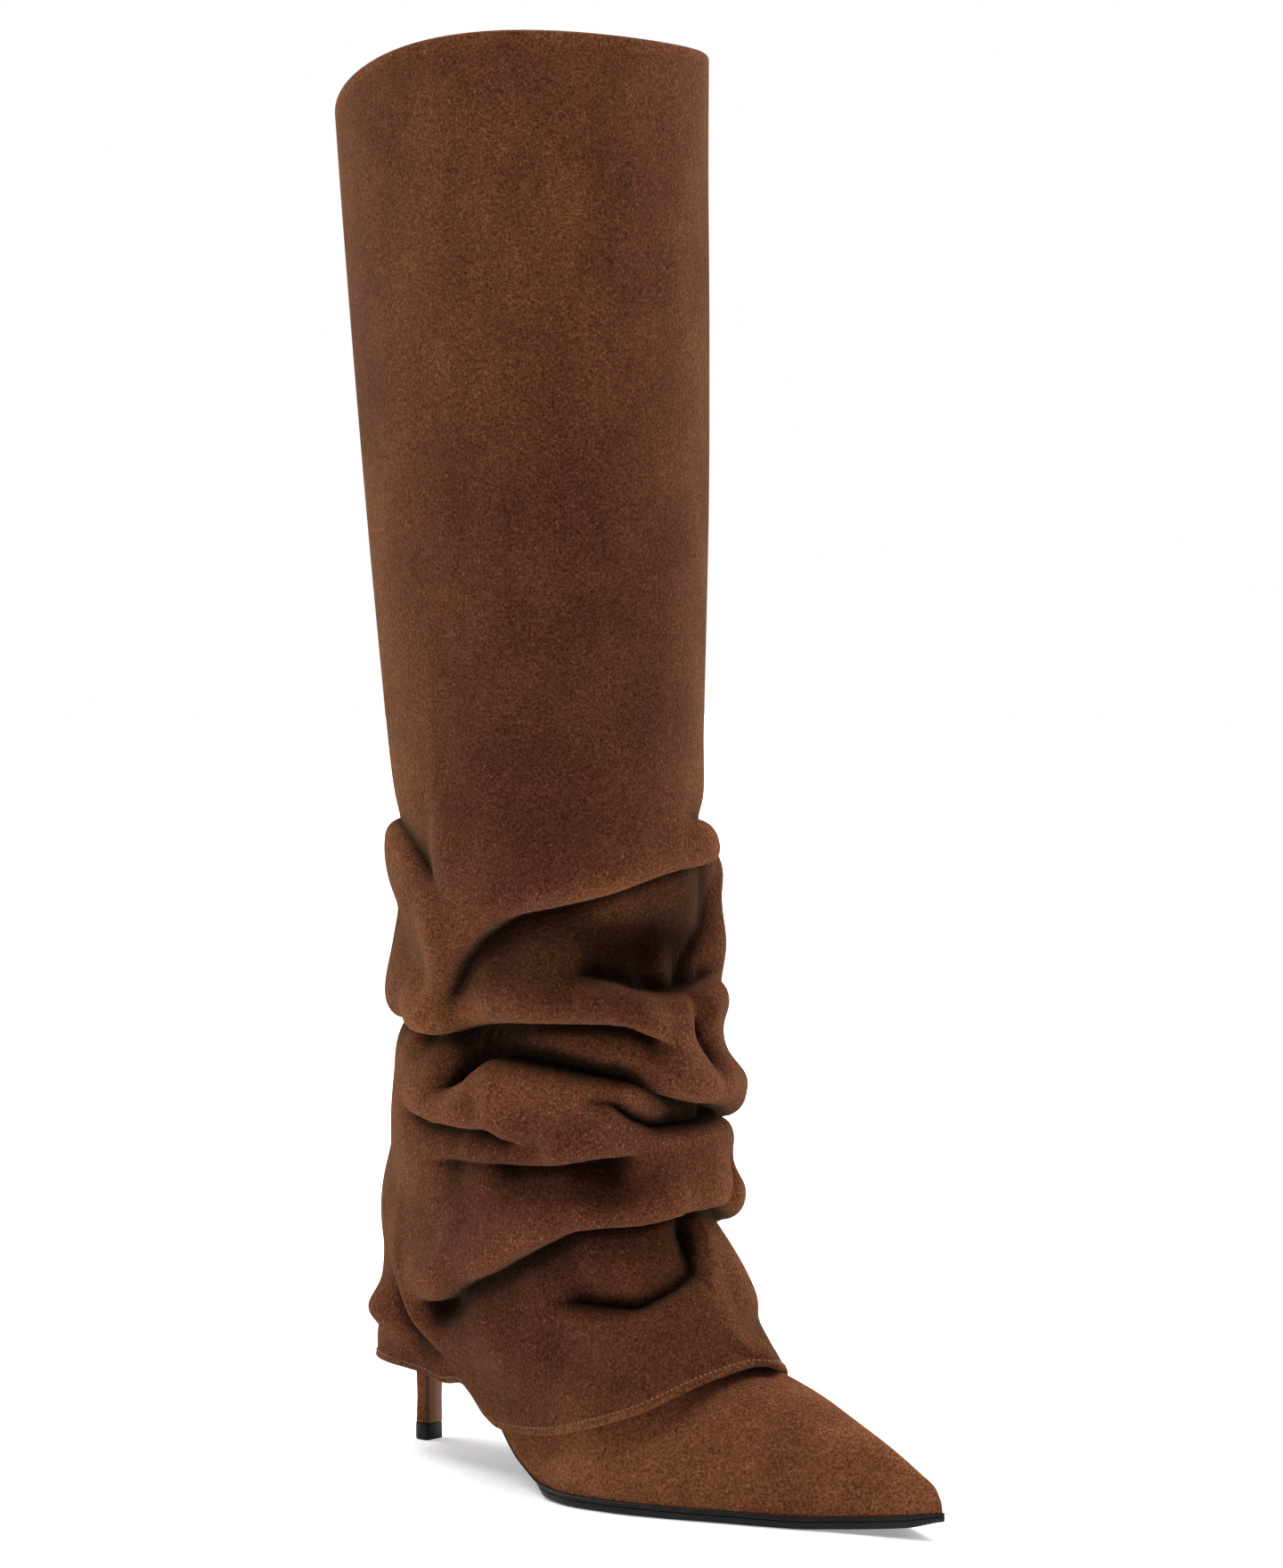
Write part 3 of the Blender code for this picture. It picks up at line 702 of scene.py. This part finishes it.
class Finish:
    """A node material under construction."""

    def __init__(self, name):
        self.material = bpy.data.materials.new(name)
        self.material.use_nodes = True
        self.tree = self.material.node_tree
        self.shader = self.tree.nodes["Principled BSDF"]
        self.place = self.node("TexCoord").outputs["Object"]

    def put(self, socket, value):
        """Links an input to another node's output, or sets a plain value on it."""
        if isinstance(value, bpy.types.NodeSocket):
            self.tree.links.new(value, socket)
        else:
            socket.default_value = value

    def fill(self, node, inputs):
        """Fills inputs of a node by name, with _ for a space."""
        for name, value in inputs.items():
            self.put(node.inputs[name.replace("_", " ")], value)

    def node(self, kind, **inputs):
        """A new node with these inputs."""
        node = self.tree.nodes.new("ShaderNode" + kind)
        self.fill(node, inputs)
        return node

    def done(self, **inputs):
        """The material, with these inputs of its shader."""
        self.fill(self.shader, inputs)
        return self.material

    def noise(self, scale, detail=2.0, roughness=0.5, stretch=None):
        """Soft noise of so many waves a metre."""
        place = self.place
        if stretch:
            place = self.node("Mapping", Vector=place, Scale=stretch).outputs["Vector"]
        node = self.node("TexNoise", Vector=place, Scale=scale, Detail=detail, Roughness=roughness)
        return node.outputs["Fac"]

    def ramp(self, factor, stops):
        """A colour for each value of a factor."""
        node = self.node("ValToRGB", Fac=factor)
        elements = node.color_ramp.elements
        while len(elements) < len(stops):
            elements.new(0.5)
        for element, (at, colour) in zip(elements, stops):
            element.position = at
            element.color = (*colour, 1.0)
        return node.outputs["Color"]

    def mix(self, kind, factor, first, second):
        """Two colours mixed; each value is a socket, a number or a colour."""
        node = self.node("Mix")
        node.data_type = "RGBA"
        node.blend_type = kind
        for number, value in ((0, factor), (6, first), (7, second)):
            self.put(node.inputs[number], (*value, 1.0) if isinstance(value, tuple) else value)
        return node.outputs[2]

    def span(self, factor, low, high, to_low, to_high):
        """A factor moved from one range to another."""
        ends = {"From_Min": low, "From_Max": high, "To_Min": to_low, "To_Max": to_high}
        return self.node("MapRange", Value=factor, **ends).outputs["Result"]

    def attribute(self, name):
        """A number stored on the mesh."""
        node = self.node("Attribute")
        node.attribute_name = name
        return node.outputs["Fac"]

    def bump(self, height, distance, strength, **under):
        """A bump from a height, over another bump if one is given as its Normal."""
        node = self.node("Bump", Height=height, Distance=distance, Strength=strength, **under)
        return node.outputs["Normal"]


def shade(colour, by):
    """A colour made lighter or darker."""
    return tuple(by * c for c in colour)


def suede_finish(name, deep, mid, lit, relief):
    """Brushed suede: clouded colour, a short uneven nap and a dusty sheen."""
    f = Finish(name)
    cloud, patch, nap, fibre, speck = (f.noise(*row) for row in SUEDE_NOISES)
    colour = f.ramp(cloud, tuple(zip(CLOUD_STOPS, (deep, mid, lit))))
    for noise, (strong, dark_at, dark, light_at, light) in zip((patch, nap, fibre), MOTTLES):
        greys = f.ramp(noise, ((dark_at, (dark,) * 3), (light_at, (light,) * 3)))
        colour = f.mix("OVERLAY", strong, colour, greys)
    # Bright specks: light-coloured nap tips, partly painted glints.
    colour = f.mix("MIX", f.span(speck, *SPECK_SPAN), colour, shade(lit, SPECK_BRIGHT))
    # Painted shade in the hollows and painted highlight on the rolls of the folds, from their relief,
    # then the painted light and shade patches and the lighter edges.
    if relief:
        painted_fold_shade = f.span(f.attribute("relief"), -1.0, 1.0, 0.0, 1.0)
        colour = f.mix("MULTIPLY", 1.0, colour, f.ramp(painted_fold_shade, SHADE_STOPS))
        colour = f.mix("MULTIPLY", 1.0, colour, f.span(f.attribute("brush"), -1.0, 1.0, 0.0, 2.0))
    low = f.bump(nap, distance=0.0011, strength=0.75)
    return f.done(
        Base_Color=colour, Roughness=f.span(nap, 0.3, 0.7, 0.86, 0.98),
        Normal=f.bump(fibre, distance=0.0005, strength=0.5, Normal=low), Sheen_Weight=0.13,
        Sheen_Roughness=0.40, Sheen_Tint=(0.85, 0.58, 0.38, 1.0), Specular_IOR_Level=0.0)


def leather_finish(name, colour, darker, grain, roughness):
    """Smooth leather with a fine pebbled grain."""
    f = Finish(name)
    cloud = f.noise(60.0, detail=3.0, roughness=0.6)
    pores = f.node("TexVoronoi", Vector=f.place, Scale=grain).outputs["Distance"]
    fine = f.noise(grain * 0.6, detail=3.0)
    tone = f.ramp(cloud, ((0.30, shade(colour, darker)), (0.70, colour)))
    tone = f.mix("MULTIPLY", 1.0, tone, f.span(f.attribute("inked"), 0.0, 1.0, 1.0, INKED_TONE))
    low = f.bump(pores, distance=0.0002, strength=0.25)
    return f.done(
        Base_Color=tone, Roughness=f.span(cloud, 0.3, 0.7, roughness - 0.06, roughness + 0.08),
        Normal=f.bump(fine, distance=0.0002, strength=0.3, Normal=low), Specular_IOR_Level=0.25)


def edge_finish(name, colour, roughness):
    """Inked sole edge or moulded top piece: near black, lightly scuffed."""
    f = Finish(name)
    scuff = f.noise(260.0, detail=4.0, roughness=0.65)
    fine = f.noise(1400.0)
    grey = tuple(2.2 * c + 0.004 for c in colour)
    low = f.bump(scuff, distance=0.0002, strength=0.3)
    return f.done(
        Base_Color=f.ramp(scuff, ((0.42, colour), (0.80, grey))),
        Roughness=f.span(scuff, 0.3, 0.75, roughness - 0.08, roughness + 0.16),
        Normal=f.bump(fine, distance=0.0001, strength=0.3, Normal=low), Specular_IOR_Level=0.16)


def thread_finish(name, colour):
    """Twisted sewing thread."""
    f = Finish(name)
    twist = f.noise(2600.0)
    return f.done(
        Base_Color=f.ramp(twist, ((0.35, shade(colour, 0.55)), (0.65, colour))), Roughness=0.85,
        Normal=f.bump(twist, distance=0.0001, strength=0.4), Specular_IOR_Level=0.1)


def floor_finish(name, colour):
    """Pale studio paper."""
    f = Finish(name)
    pale = tuple(min(1.0, 1.02 * c) for c in colour)
    return f.done(
        Base_Color=f.ramp(f.noise(3.0), ((0.3, colour), (0.7, pale))), Roughness=0.6,
        Specular_IOR_Level=0.2, Emission_Strength=0.3)


def metres(name, text, default):
    """A changeable length."""
    return bpy.props.FloatProperty(name=name, description=text, default=default, unit="LENGTH")


def hue(name, text, default):
    """A changeable colour."""
    return bpy.props.FloatVectorProperty(
        name=name, description=text, default=default, subtype="COLOR")


def glow(name, text, default):
    """A changeable strength of a light."""
    return bpy.props.FloatProperty(name=name, description=text, default=default, min=0.0)


class BootSizes(bpy.types.PropertyGroup):
    """Sizes that a user would change."""

    fold_strength: bpy.props.FloatProperty(
        name="Fold Strength", description="How deep the slouched folds are",
        default=1.0, min=0.0, max=1.5)
    shaft_places: bpy.props.IntProperty(
        name="Shaft Places", description="Points round the shaft", default=280, min=60, max=320)
    hem_edge: metres("Hem Edge", "Thickness of the turned hem", 0.0024)
    collar_edge: metres("Collar Edge", "Thickness of the turned collar", 0.0030)
    stitch_line: metres("Stitch Line", "Distance of the stitches from the hem's edge", 0.0013)
    stitch_pitch: metres("Stitch Pitch", "Length from one stitch to the next", 0.0017)
    thread_width: metres("Thread Width", "Thickness of the sewing thread", 0.0007)


class BootColours(bpy.types.PropertyGroup):
    """Colours that a user would change."""

    suede_deep: hue("Suede Deep", "Suede where the nap lies dark", (0.082, 0.0260, 0.0148))
    suede_mid: hue("Suede", "Suede over most of the boot", (0.105, 0.0364, 0.0171))
    suede_lit: hue("Suede Brushed", "Suede where the nap is brushed up", (0.129, 0.0478, 0.0200))
    breast: hue("Heel Breast", "Smooth leather on the front of the heel", (0.190, 0.070, 0.024))
    sole: hue("Sole", "Sole edge and heel tip", (0.006, 0.0055, 0.0055))
    thread: hue("Thread", "Sewing thread of the hem", (0.270, 0.128, 0.068))
    lining: hue("Lining", "Leather inside the boot", (0.17, 0.085, 0.045))
    floor: hue("Floor", "Studio floor", (0.90, 0.90, 0.90))


class BootLights(bpy.types.PropertyGroup):
    """Strengths of the studio lights."""

    key: glow("Key", "Each of the two soft lights from above", 3.2)
    left: glow("Left", "Soft light from the heel side", 1.4)
    right: glow("Right", "Soft light from the toe side", 2.05)
    sky: glow("Sky", "Even light from all round", 0.03)


def tint(name):
    """One of the boot's changeable colours."""
    return tuple(getattr(bpy.context.scene.boot_colours, name))


def shared(name, make, *values):
    """A finish that several pieces share, made once."""
    return bpy.data.materials.get(name) or make(name, *values)


def suede(relief):
    """The boot's suede, with or without the painted shade of its folds; the plain copy is painted
    brighter.
    """
    name = "suede_folded" if relief else "suede_plain"
    bright = FOLDED_BRIGHT if relief else PLAIN_BRIGHT
    tones = [shade(tint(tone), bright) for tone in ("suede_deep", "suede_mid", "suede_lit")]
    return shared(name, suede_finish, *tones, relief)


def shaft_levels():
    """Rows of the shaft from the collar to the hem, closer where it folds."""
    leg = LEG_END / len(SHAFT_ROWS)
    skirt = FOLDS_END / len(SHAFT_ROWS)
    on_leg, on_folds, on_hem = LEVEL_COUNTS
    return np.concatenate([
        np.linspace(0, leg, on_leg)[:-1], np.linspace(leg, skirt, on_folds)[:-1],
        np.linspace(skirt, 1, on_hem)])


def lengths(points):
    """Lengths down a grid, from its first row to each point and from each point to its last row."""
    reach = np.linalg.norm(np.diff(points, axis=0), axis=2)
    none = np.zeros_like(reach[:1])
    before = np.concatenate([none, np.cumsum(reach, axis=0)])
    after = np.concatenate([np.cumsum(reach[::-1], axis=0)[::-1], none])
    return before, after


def hem_band(from_hem, line):
    """How far the turned hem stands out, with the groove along its line of stitches."""
    high, past, fade = HEM_BAND
    deep, above, wide = STITCH_GROOVE
    band = high * (1 - ease((from_hem - line + past) / fade))
    return band - deep * np.exp(-((from_hem - line - above) / wide) ** 2)


def turned_edge(points, normal, thick, count):
    """Rows that roll a sheet over at its first row and run back behind it."""
    away = unit(points[0] - points[1])
    radius = thick / MM / 2
    rows = []
    for angle in np.linspace(0, pi, EDGE_STEPS + 1)[1:]:
        rows.append(points[0] + normal[0] * radius * (cos(angle) - 1) + away * radius * sin(angle))
    behind = slice(1, count + 1)
    return np.concatenate([np.array(rows), points[behind] - normal[behind] * thick / MM])


class BOOT_OT_shaft(bpy.types.Operator):
    """Makes the leg with its collar, slouched folds and skirt, and the lining inside it."""

    bl_idname = "boot.shaft"
    bl_label = "Shaft"

    def execute(self, context):
        size = context.scene.boot_sizes
        turn = np.linspace(-pi, pi, size.shaft_places, endpoint=False)
        points, push = shaft_grid(turn, shaft_levels(), size.fold_strength)
        normal = surface_normals(points)
        from_collar, from_hem = lengths(points)
        points = points + normal * hem_band(from_hem, size.stitch_line / MM)[..., None]
        # Relief of the folds, which sets their painted shade and highlight.
        reliefs = [
            (push - smoothed(push, rows, places)) / full for rows, places, full in RELIEF_ROWS]
        relief = np.clip(sum(reliefs) / len(reliefs), -1, 1)
        # Painted light and shade patches on the shaft, and lighter suede along the collar and the hem.
        brush = painted_patches(np.degrees(turn)[None, :], shaft_base(turn, shaft_levels())[..., 2])
        brush += EDGE_LIGHTER * (
            np.exp(-(from_collar / COLLAR_LIGHTER) ** 2) + np.exp(-(from_hem / HEM_LIGHTER) ** 2))
        collar = turned_edge(points, normal, size.collar_edge, COLLAR_RETURN)[::-1]
        hem = turned_edge(points[::-1], normal[::-1], size.hem_edge, HEM_RETURN)
        grid = np.concatenate([collar, points, hem])
        shaft = mesh_piece("shaft_suede", grid, grid_faces(len(grid), len(turn), True), suede(True))
        for name, values, edge in (("relief", relief, 0.0), ("brush", brush, EDGE_LIGHTER)):
            whole = np.full(grid.shape[:2], edge)
            whole[len(collar):-len(hem)] = values
            store(shaft, name, whole)
        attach(shaft, "root")
        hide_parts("shaft")
        self.lining(points, normal)
        return {"FINISHED"}

    def lining(self, points, normal):
        """The smooth leather inside the shaft."""
        inner = (points - LINING_DEPTH * normal)[LINING_ROWS, ::2]
        faces = [face[::-1] for face in grid_faces(len(inner), inner.shape[1], True)]
        finish = shared("lining_leather", leather_finish, tint("lining"), *LINING_LEATHER)
        lining = mesh_piece("shaft_lining", inner, faces, finish)
        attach(lining, "root")


class BOOT_OT_stitches(bpy.types.Operator):
    """Sews the hem of the skirt."""

    bl_idname = "boot.stitches"
    bl_label = "Hem Stitches"

    def execute(self, context):
        size = context.scene.boot_sizes
        turn = np.linspace(-pi, pi, STITCH_PLACES, endpoint=False)
        level = np.linspace(STITCH_TOP, 1.0, STITCH_LEVELS)
        points = shaft_grid(turn, level, size.fold_strength)[0]
        from_hem = lengths(points)[1]
        row = np.argmin(np.abs(from_hem - size.stitch_line / MM), axis=0)
        pick = np.arange(len(turn))
        path = points[row, pick]
        out = surface_normals(points)[row, pick]
        step = np.linalg.norm(np.roll(path, -1, axis=0) - path, axis=1)
        along_hem = np.concatenate([[0], np.cumsum(step)])
        count = int(along_hem[-1] / (size.stitch_pitch / MM))
        radius = size.thread_width / MM / 2
        path = np.concatenate([path, path[:1]])
        out = np.concatenate([out, out[:1]])
        sides = np.linspace(0, 2 * pi, THREAD_SIDES, endpoint=False)
        verts = []
        faces = []
        for n in range(count):
            start = (n + STITCH_START) / count * along_hem[-1]
            end = (n + STITCH_END) / count * along_hem[-1]
            at = np.linspace(start, end, len(STITCH_ROWS))
            line = np.stack([np.interp(at, along_hem, path[:, k]) for k in range(3)], 1)
            up = np.stack([np.interp(at, along_hem, out[:, k]) for k in range(3)], 1)
            side = unit(np.cross(up, line[-1] - line[0]))
            first = len(verts)
            for k, (lift, share) in enumerate(STITCH_ROWS):
                wide = radius * share
                for angle in sides:
                    raised = line[k] + up[k] * (lift + wide * sin(angle))
                    verts.append(raised + side[k] * wide * cos(angle))
            last = len(verts) - THREAD_SIDES
            for low in range(first, last, THREAD_SIDES):
                for m in range(THREAD_SIDES):
                    a = low + m
                    b = low + (m + 1) % THREAD_SIDES
                    faces.append((a, b, b + THREAD_SIDES, a + THREAD_SIDES))
            faces.append(tuple(range(first, first + THREAD_SIDES))[::-1])
            faces.append(tuple(range(last, len(verts))))
        finish = shared("hem_thread", thread_finish, tint("thread"))
        thread = mesh_piece("hem_stitches", verts, faces, finish)
        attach(thread, "root")
        return {"FINISHED"}


def upper_ring(turn, low, high, half, swell):
    """One section of the upper, an arch on the sole or a closed loop round the leg."""
    wide = max(half + swell, LEAST_HALF)
    shut = swell / wide
    out = wide * ((1 - shut) * np.cos(turn) + shut * np.sin(2 * turn))
    up = (1 - shut) * np.sin(turn) + shut * np.sin(turn) ** 2
    x, y, z = (low[n] + (high[n] - low[n]) * up for n in range(3))
    return np.stack([x, y + out, z], 1)


class BOOT_OT_upper(bpy.types.Operator):
    """Makes the foot of the boot, lasted from the pointed toe to the ankle."""

    bl_idname = "boot.upper"
    bl_label = "Upper"

    def execute(self, context):
        turn = np.linspace(0, pi, UPPER_PLACES)
        rings = []
        toe = np.linspace(0, 1, TOE_SECTIONS)[:-1]
        vamp = np.linspace(1, len(VAMP_ROWS) - 1, VAMP_SECTIONS)
        for place in np.concatenate([toe, vamp]):
            foot, ridge_x, ridge_z, swell, ridge_y = row_at(VAMP_ROWS, place)
            outer, inner, top = (float(v) for v in sole_edges(foot))
            half = (inner - outer) / 2 - min(SOLE_LEDGE, LEDGE_SHARE * (inner - outer))
            low = (foot, (inner + outer) / 2, top + UPPER_GAP)
            rings.append(upper_ring(turn, low, (ridge_x, ridge_y, ridge_z), half, swell))
        rings[0][:, 1] = VAMP_ROWS[0][4]
        for place in np.linspace(0, len(LEG_ROWS) - 1, LEG_SECTIONS):
            back_x, back_z, front_x, front_z, half = row_at(LEG_ROWS, place)
            back = (back_x, LEG_OFFSET, back_z)
            rings.append(upper_ring(turn, back, (front_x, LEG_OFFSET, front_z), 0.0, half))
        faces = grid_faces(len(rings), len(turn), False)
        upper = mesh_piece("upper_suede", np.array(rings), faces, suede(False))
        face_out(upper, JOIN_DISTANCE)
        wall = upper.modifiers.new("wall", "SOLIDIFY")
        wall.thickness = UPPER_WALL
        wall.offset = -1.0
        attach(upper, "root")
        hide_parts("upper")
        return {"FINISHED"}


class BOOT_OT_sole(bpy.types.Operator):
    """Makes the outsole with its inked edge, and the insole."""

    bl_idname = "boot.sole"
    bl_label = "Sole"

    def execute(self, context):
        rings = []
        for x, outer, inner, top in sole_sections(*SOLE_SECTIONS):
            fit = min(1.0, EDGE_SHARE * (inner - outer))
            deep, lean = sole_edge(x)
            middle = (outer + inner) / 2
            lateral = [
                (x, outer + fit * way + lean * fall, top - deep * fall) for way, fall in EDGE_ROWS]
            medial = [(x, inner - fit * way - lean * fall, top - deep * fall)
                      for way, fall in reversed(EDGE_ROWS)]
            rings.append([*lateral, (x, middle, top - deep), *medial, (x, middle, top)])
        ink = shared("sole_ink", edge_finish, tint("sole"), SOLE_ROUGHNESS)
        sole = capped_loft("outsole_leather", rings, ink)
        sharpen(sole, degrees=50)
        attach(sole, "root")
        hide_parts("outsole")
        boards = []
        inset, at_heel, gap, thick, bend, crown, dish = INSOLE
        for x, outer, inner, top in sole_sections(*INSOLE_SECTIONS):
            from_edge = inset + at_heel * between(x, HEEL_NARROWS)
            outer += from_edge
            inner -= from_edge
            middle = (outer + inner) / 2
            low = top + gap
            high = low + thick
            boards.append((
                (x, outer, low + dish), (x, outer, high - bend), (x, outer + bend, high),
                (x, middle, high + crown), (x, inner - bend, high), (x, inner, high - bend),
                (x, inner, low + dish), (x, middle, low)))
        finish = shared("lining_leather", leather_finish, tint("lining"), *LINING_LEATHER)
        insole = capped_loft("insole_leather", boards, finish)
        sharpen(insole, degrees=60)
        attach(insole, "root")
        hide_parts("insole")
        return {"FINISHED"}


def heel_ring(back, back_z, front, front_z, half):
    """A section of the heel: flat in front, round behind."""
    before_round, before_corner, front_half, corner_half = HEEL_SECTION
    deep = front - back
    middle = front - before_round * deep
    corner = front - before_corner * deep
    ring = [(front, -front_half * half), (corner, -corner_half * half)]
    for angle in np.linspace(-pi / 2, pi / 2, HEEL_ARC):
        ring.append((middle - (middle - back) * cos(angle), half * sin(angle)))
    ring += [(corner, corner_half * half), (front, front_half * half)]
    return [(x, y, back_z + (front_z - back_z) * (x - back) / deep) for x, y in ring]


def breast_ring(front, z, half):
    """A section of the smooth leather strip before the front of the heel."""
    lead, share, thick, bevel, face = BREAST
    near = front + lead
    far = near + thick
    wide = share * half
    return [(near, -wide, z), (far - bevel, -wide, z), (far, -face * wide, z),
            (far, face * wide, z), (far - bevel, wide, z), (near, wide, z)]


class BOOT_OT_heel(bpy.types.Operator):
    """Makes the covered heel, its smooth front face and its tip."""

    bl_idname = "boot.heel"
    bl_label = "Heel"

    def execute(self, context):
        rings = []
        strip = []
        for place in np.linspace(0, len(HEEL_ROWS) - 1, HEEL_SECTIONS):
            back, back_z, front, front_z, half = row_at(HEEL_ROWS, place)
            rings.append(heel_ring(back, back_z, front, front_z, half))
            strip.append(breast_ring(front, front_z, half))
        back, front, half = HEEL_SEAT
        seat = heel_ring(back, 0.0, front, 0.0, half)
        rings.append([(x, y, sole_bottom(x) - SEAT_GAP) for x, y, z in seat])
        strip.append(breast_ring(front, sole_bottom(front) - BREAST_GAP, half))
        heel = capped_loft("heel_cover", rings, suede(False))
        sharpen(heel, degrees=45)
        smooth = shared("breast_leather", leather_finish, tint("breast"), *BREAST_LEATHER)
        breast = capped_loft("heel_breast_leather", strip, smooth)
        sharpen(breast, degrees=50)
        store(breast, "inked", np.tile(BREAST_INK, len(strip)))
        ends = [heel_ring(back, z, front, z, half) for back, front, half, z in TIP_ROWS]
        rubber = shared("tip_rubber", edge_finish, tint("sole"), TIP_ROUGHNESS)
        tip = capped_loft("heel_tip_rubber", ends, rubber)
        sharpen(tip, degrees=45)
        for piece, node, slot in (
                (heel, "heel", "suede"), (breast, "heel_breast", "breast_tan"),
                (tip, "heel_tip", "tip_black")):
            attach(piece, "root")
            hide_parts(node)
        return {"FINISHED"}


class BOOT_OT_stage(bpy.types.Operator):
    """Sets up the floor, the soft studio light and the camera."""

    bl_idname = "boot.stage"
    bl_label = "Stage"

    def execute(self, context):
        scene = context.scene
        lights = scene.boot_lights
        turn = radians(CAMERA_TURN)
        toward = Vector((sin(turn), -cos(turn), 0))
        right = Vector((cos(turn), sin(turn), 0))
        heel = Vector((-CENTRE[0], -CENTRE[1], 0)) * MM
        mesh = bpy.data.meshes.new("floor")
        square = ((-1, -1), (1, -1), (1, 1), (-1, 1))
        corners = [(FLOOR_HALF * x, FLOOR_HALF * y, 0) for x, y in square]
        mesh.from_pydata(corners, [], [(0, 1, 2, 3)])
        mesh.materials.append(floor_finish("studio_paper", tint("floor")))
        floor = add("floor", mesh)
        self.surroundings(scene, lights.sky)
        for name, power, soft, near, aside, up in LIGHT_ROWS:
            lamp = bpy.data.lights.new(name, "SUN")
            lamp.energy = getattr(lights, power)
            lamp.angle = radians(soft)
            thing = add(name, lamp)
            way = toward * near + right * aside + Vector((0, 0, up))
            thing.location = way
            thing.rotation_euler = (-way).to_track_quat("-Z", "Y").to_euler()
        lens = bpy.data.cameras.new("camera")
        camera = add("camera", lens)
        camera.location = heel + (toward * CAMERA_DISTANCE + Vector((0, 0, CAMERA_HEIGHT))) * MM
        horizon = HEEL_PIXEL[1] - FOCAL_PIXELS * CAMERA_HEIGHT / CAMERA_DISTANCE
        across = (BOOT_MIDDLE_PIXEL[0] - HEEL_PIXEL[0]) / FOCAL_PIXELS
        down = (BOOT_MIDDLE_PIXEL[1] - horizon) / FOCAL_PIXELS
        gaze = -toward + right * across - Vector((0, 0, 1)) * down
        camera.rotation_euler = gaze.to_track_quat("-Z", "Y").to_euler()
        lens.sensor_fit = "AUTO"
        lens.sensor_width = SENSOR
        lens.lens = FOCAL_PIXELS / PICTURE[1] * SENSOR
        lens.clip_end = SIGHT
        scene.camera = camera
        scene.view_settings.view_transform = "Standard"
        return {"FINISHED"}

    def surroundings(self, scene, strength):
        """A pale studio round the boot, dimmer as a light than it looks."""
        world = bpy.data.worlds.new("studio")
        world.use_nodes = True
        nodes = world.node_tree.nodes
        links = world.node_tree.links
        dim = nodes["Background"]
        pale = nodes.new("ShaderNodeBackground")
        for light in (dim, pale):
            light.inputs["Color"].default_value = (1.0, 1.0, 1.0, 1.0)
        dim.inputs["Strength"].default_value = strength
        ray = nodes.new("ShaderNodeLightPath")
        mix = nodes.new("ShaderNodeMixShader")
        links.new(ray.outputs["Is Camera Ray"], mix.inputs["Fac"])
        links.new(dim.outputs["Background"], mix.inputs[1])
        links.new(pale.outputs["Background"], mix.inputs[2])
        links.new(mix.outputs["Shader"], nodes["World Output"].inputs["Surface"])
        scene.world = world


class BOOT_PT_pieces(bpy.types.Panel):
    """Lists the boot's pieces and the values behind them."""

    bl_label = "Boot"
    bl_idname = "BOOT_PT_pieces"
    bl_space_type = "VIEW_3D"
    bl_region_type = "UI"
    bl_category = "Boot"

    def draw(self, context):
        for operator in OPERATORS:
            self.layout.operator(operator.bl_idname)
        scene = context.scene
        for group in (scene.boot_sizes, scene.boot_colours, scene.boot_lights):
            for name in group.__annotations__:
                self.layout.prop(group, name)


OPERATORS = (
    BOOT_OT_stage, BOOT_OT_shaft, BOOT_OT_stitches, BOOT_OT_upper, BOOT_OT_sole, BOOT_OT_heel)
CLASSES = (BootSizes, BootColours, BootLights, *OPERATORS, BOOT_PT_pieces)


def register():
    """Makes the boot's operators, panel and values known."""
    for item in CLASSES:
        bpy.utils.register_class(item)
    bpy.types.Scene.boot_sizes = bpy.props.PointerProperty(type=BootSizes)
    bpy.types.Scene.boot_colours = bpy.props.PointerProperty(type=BootColours)
    bpy.types.Scene.boot_lights = bpy.props.PointerProperty(type=BootLights)


def unregister():
    """Takes them away again."""
    del bpy.types.Scene.boot_lights
    del bpy.types.Scene.boot_colours
    del bpy.types.Scene.boot_sizes
    for item in reversed(CLASSES):
        bpy.utils.unregister_class(item)


def main():
    """Makes every piece in order."""
    register()
    bpy.ops.boot.stage()
    bpy.ops.boot.shaft()
    bpy.ops.boot.stitches()
    bpy.ops.boot.upper()
    bpy.ops.boot.sole()
    bpy.ops.boot.heel()


if __name__ == "__main__":
    main()
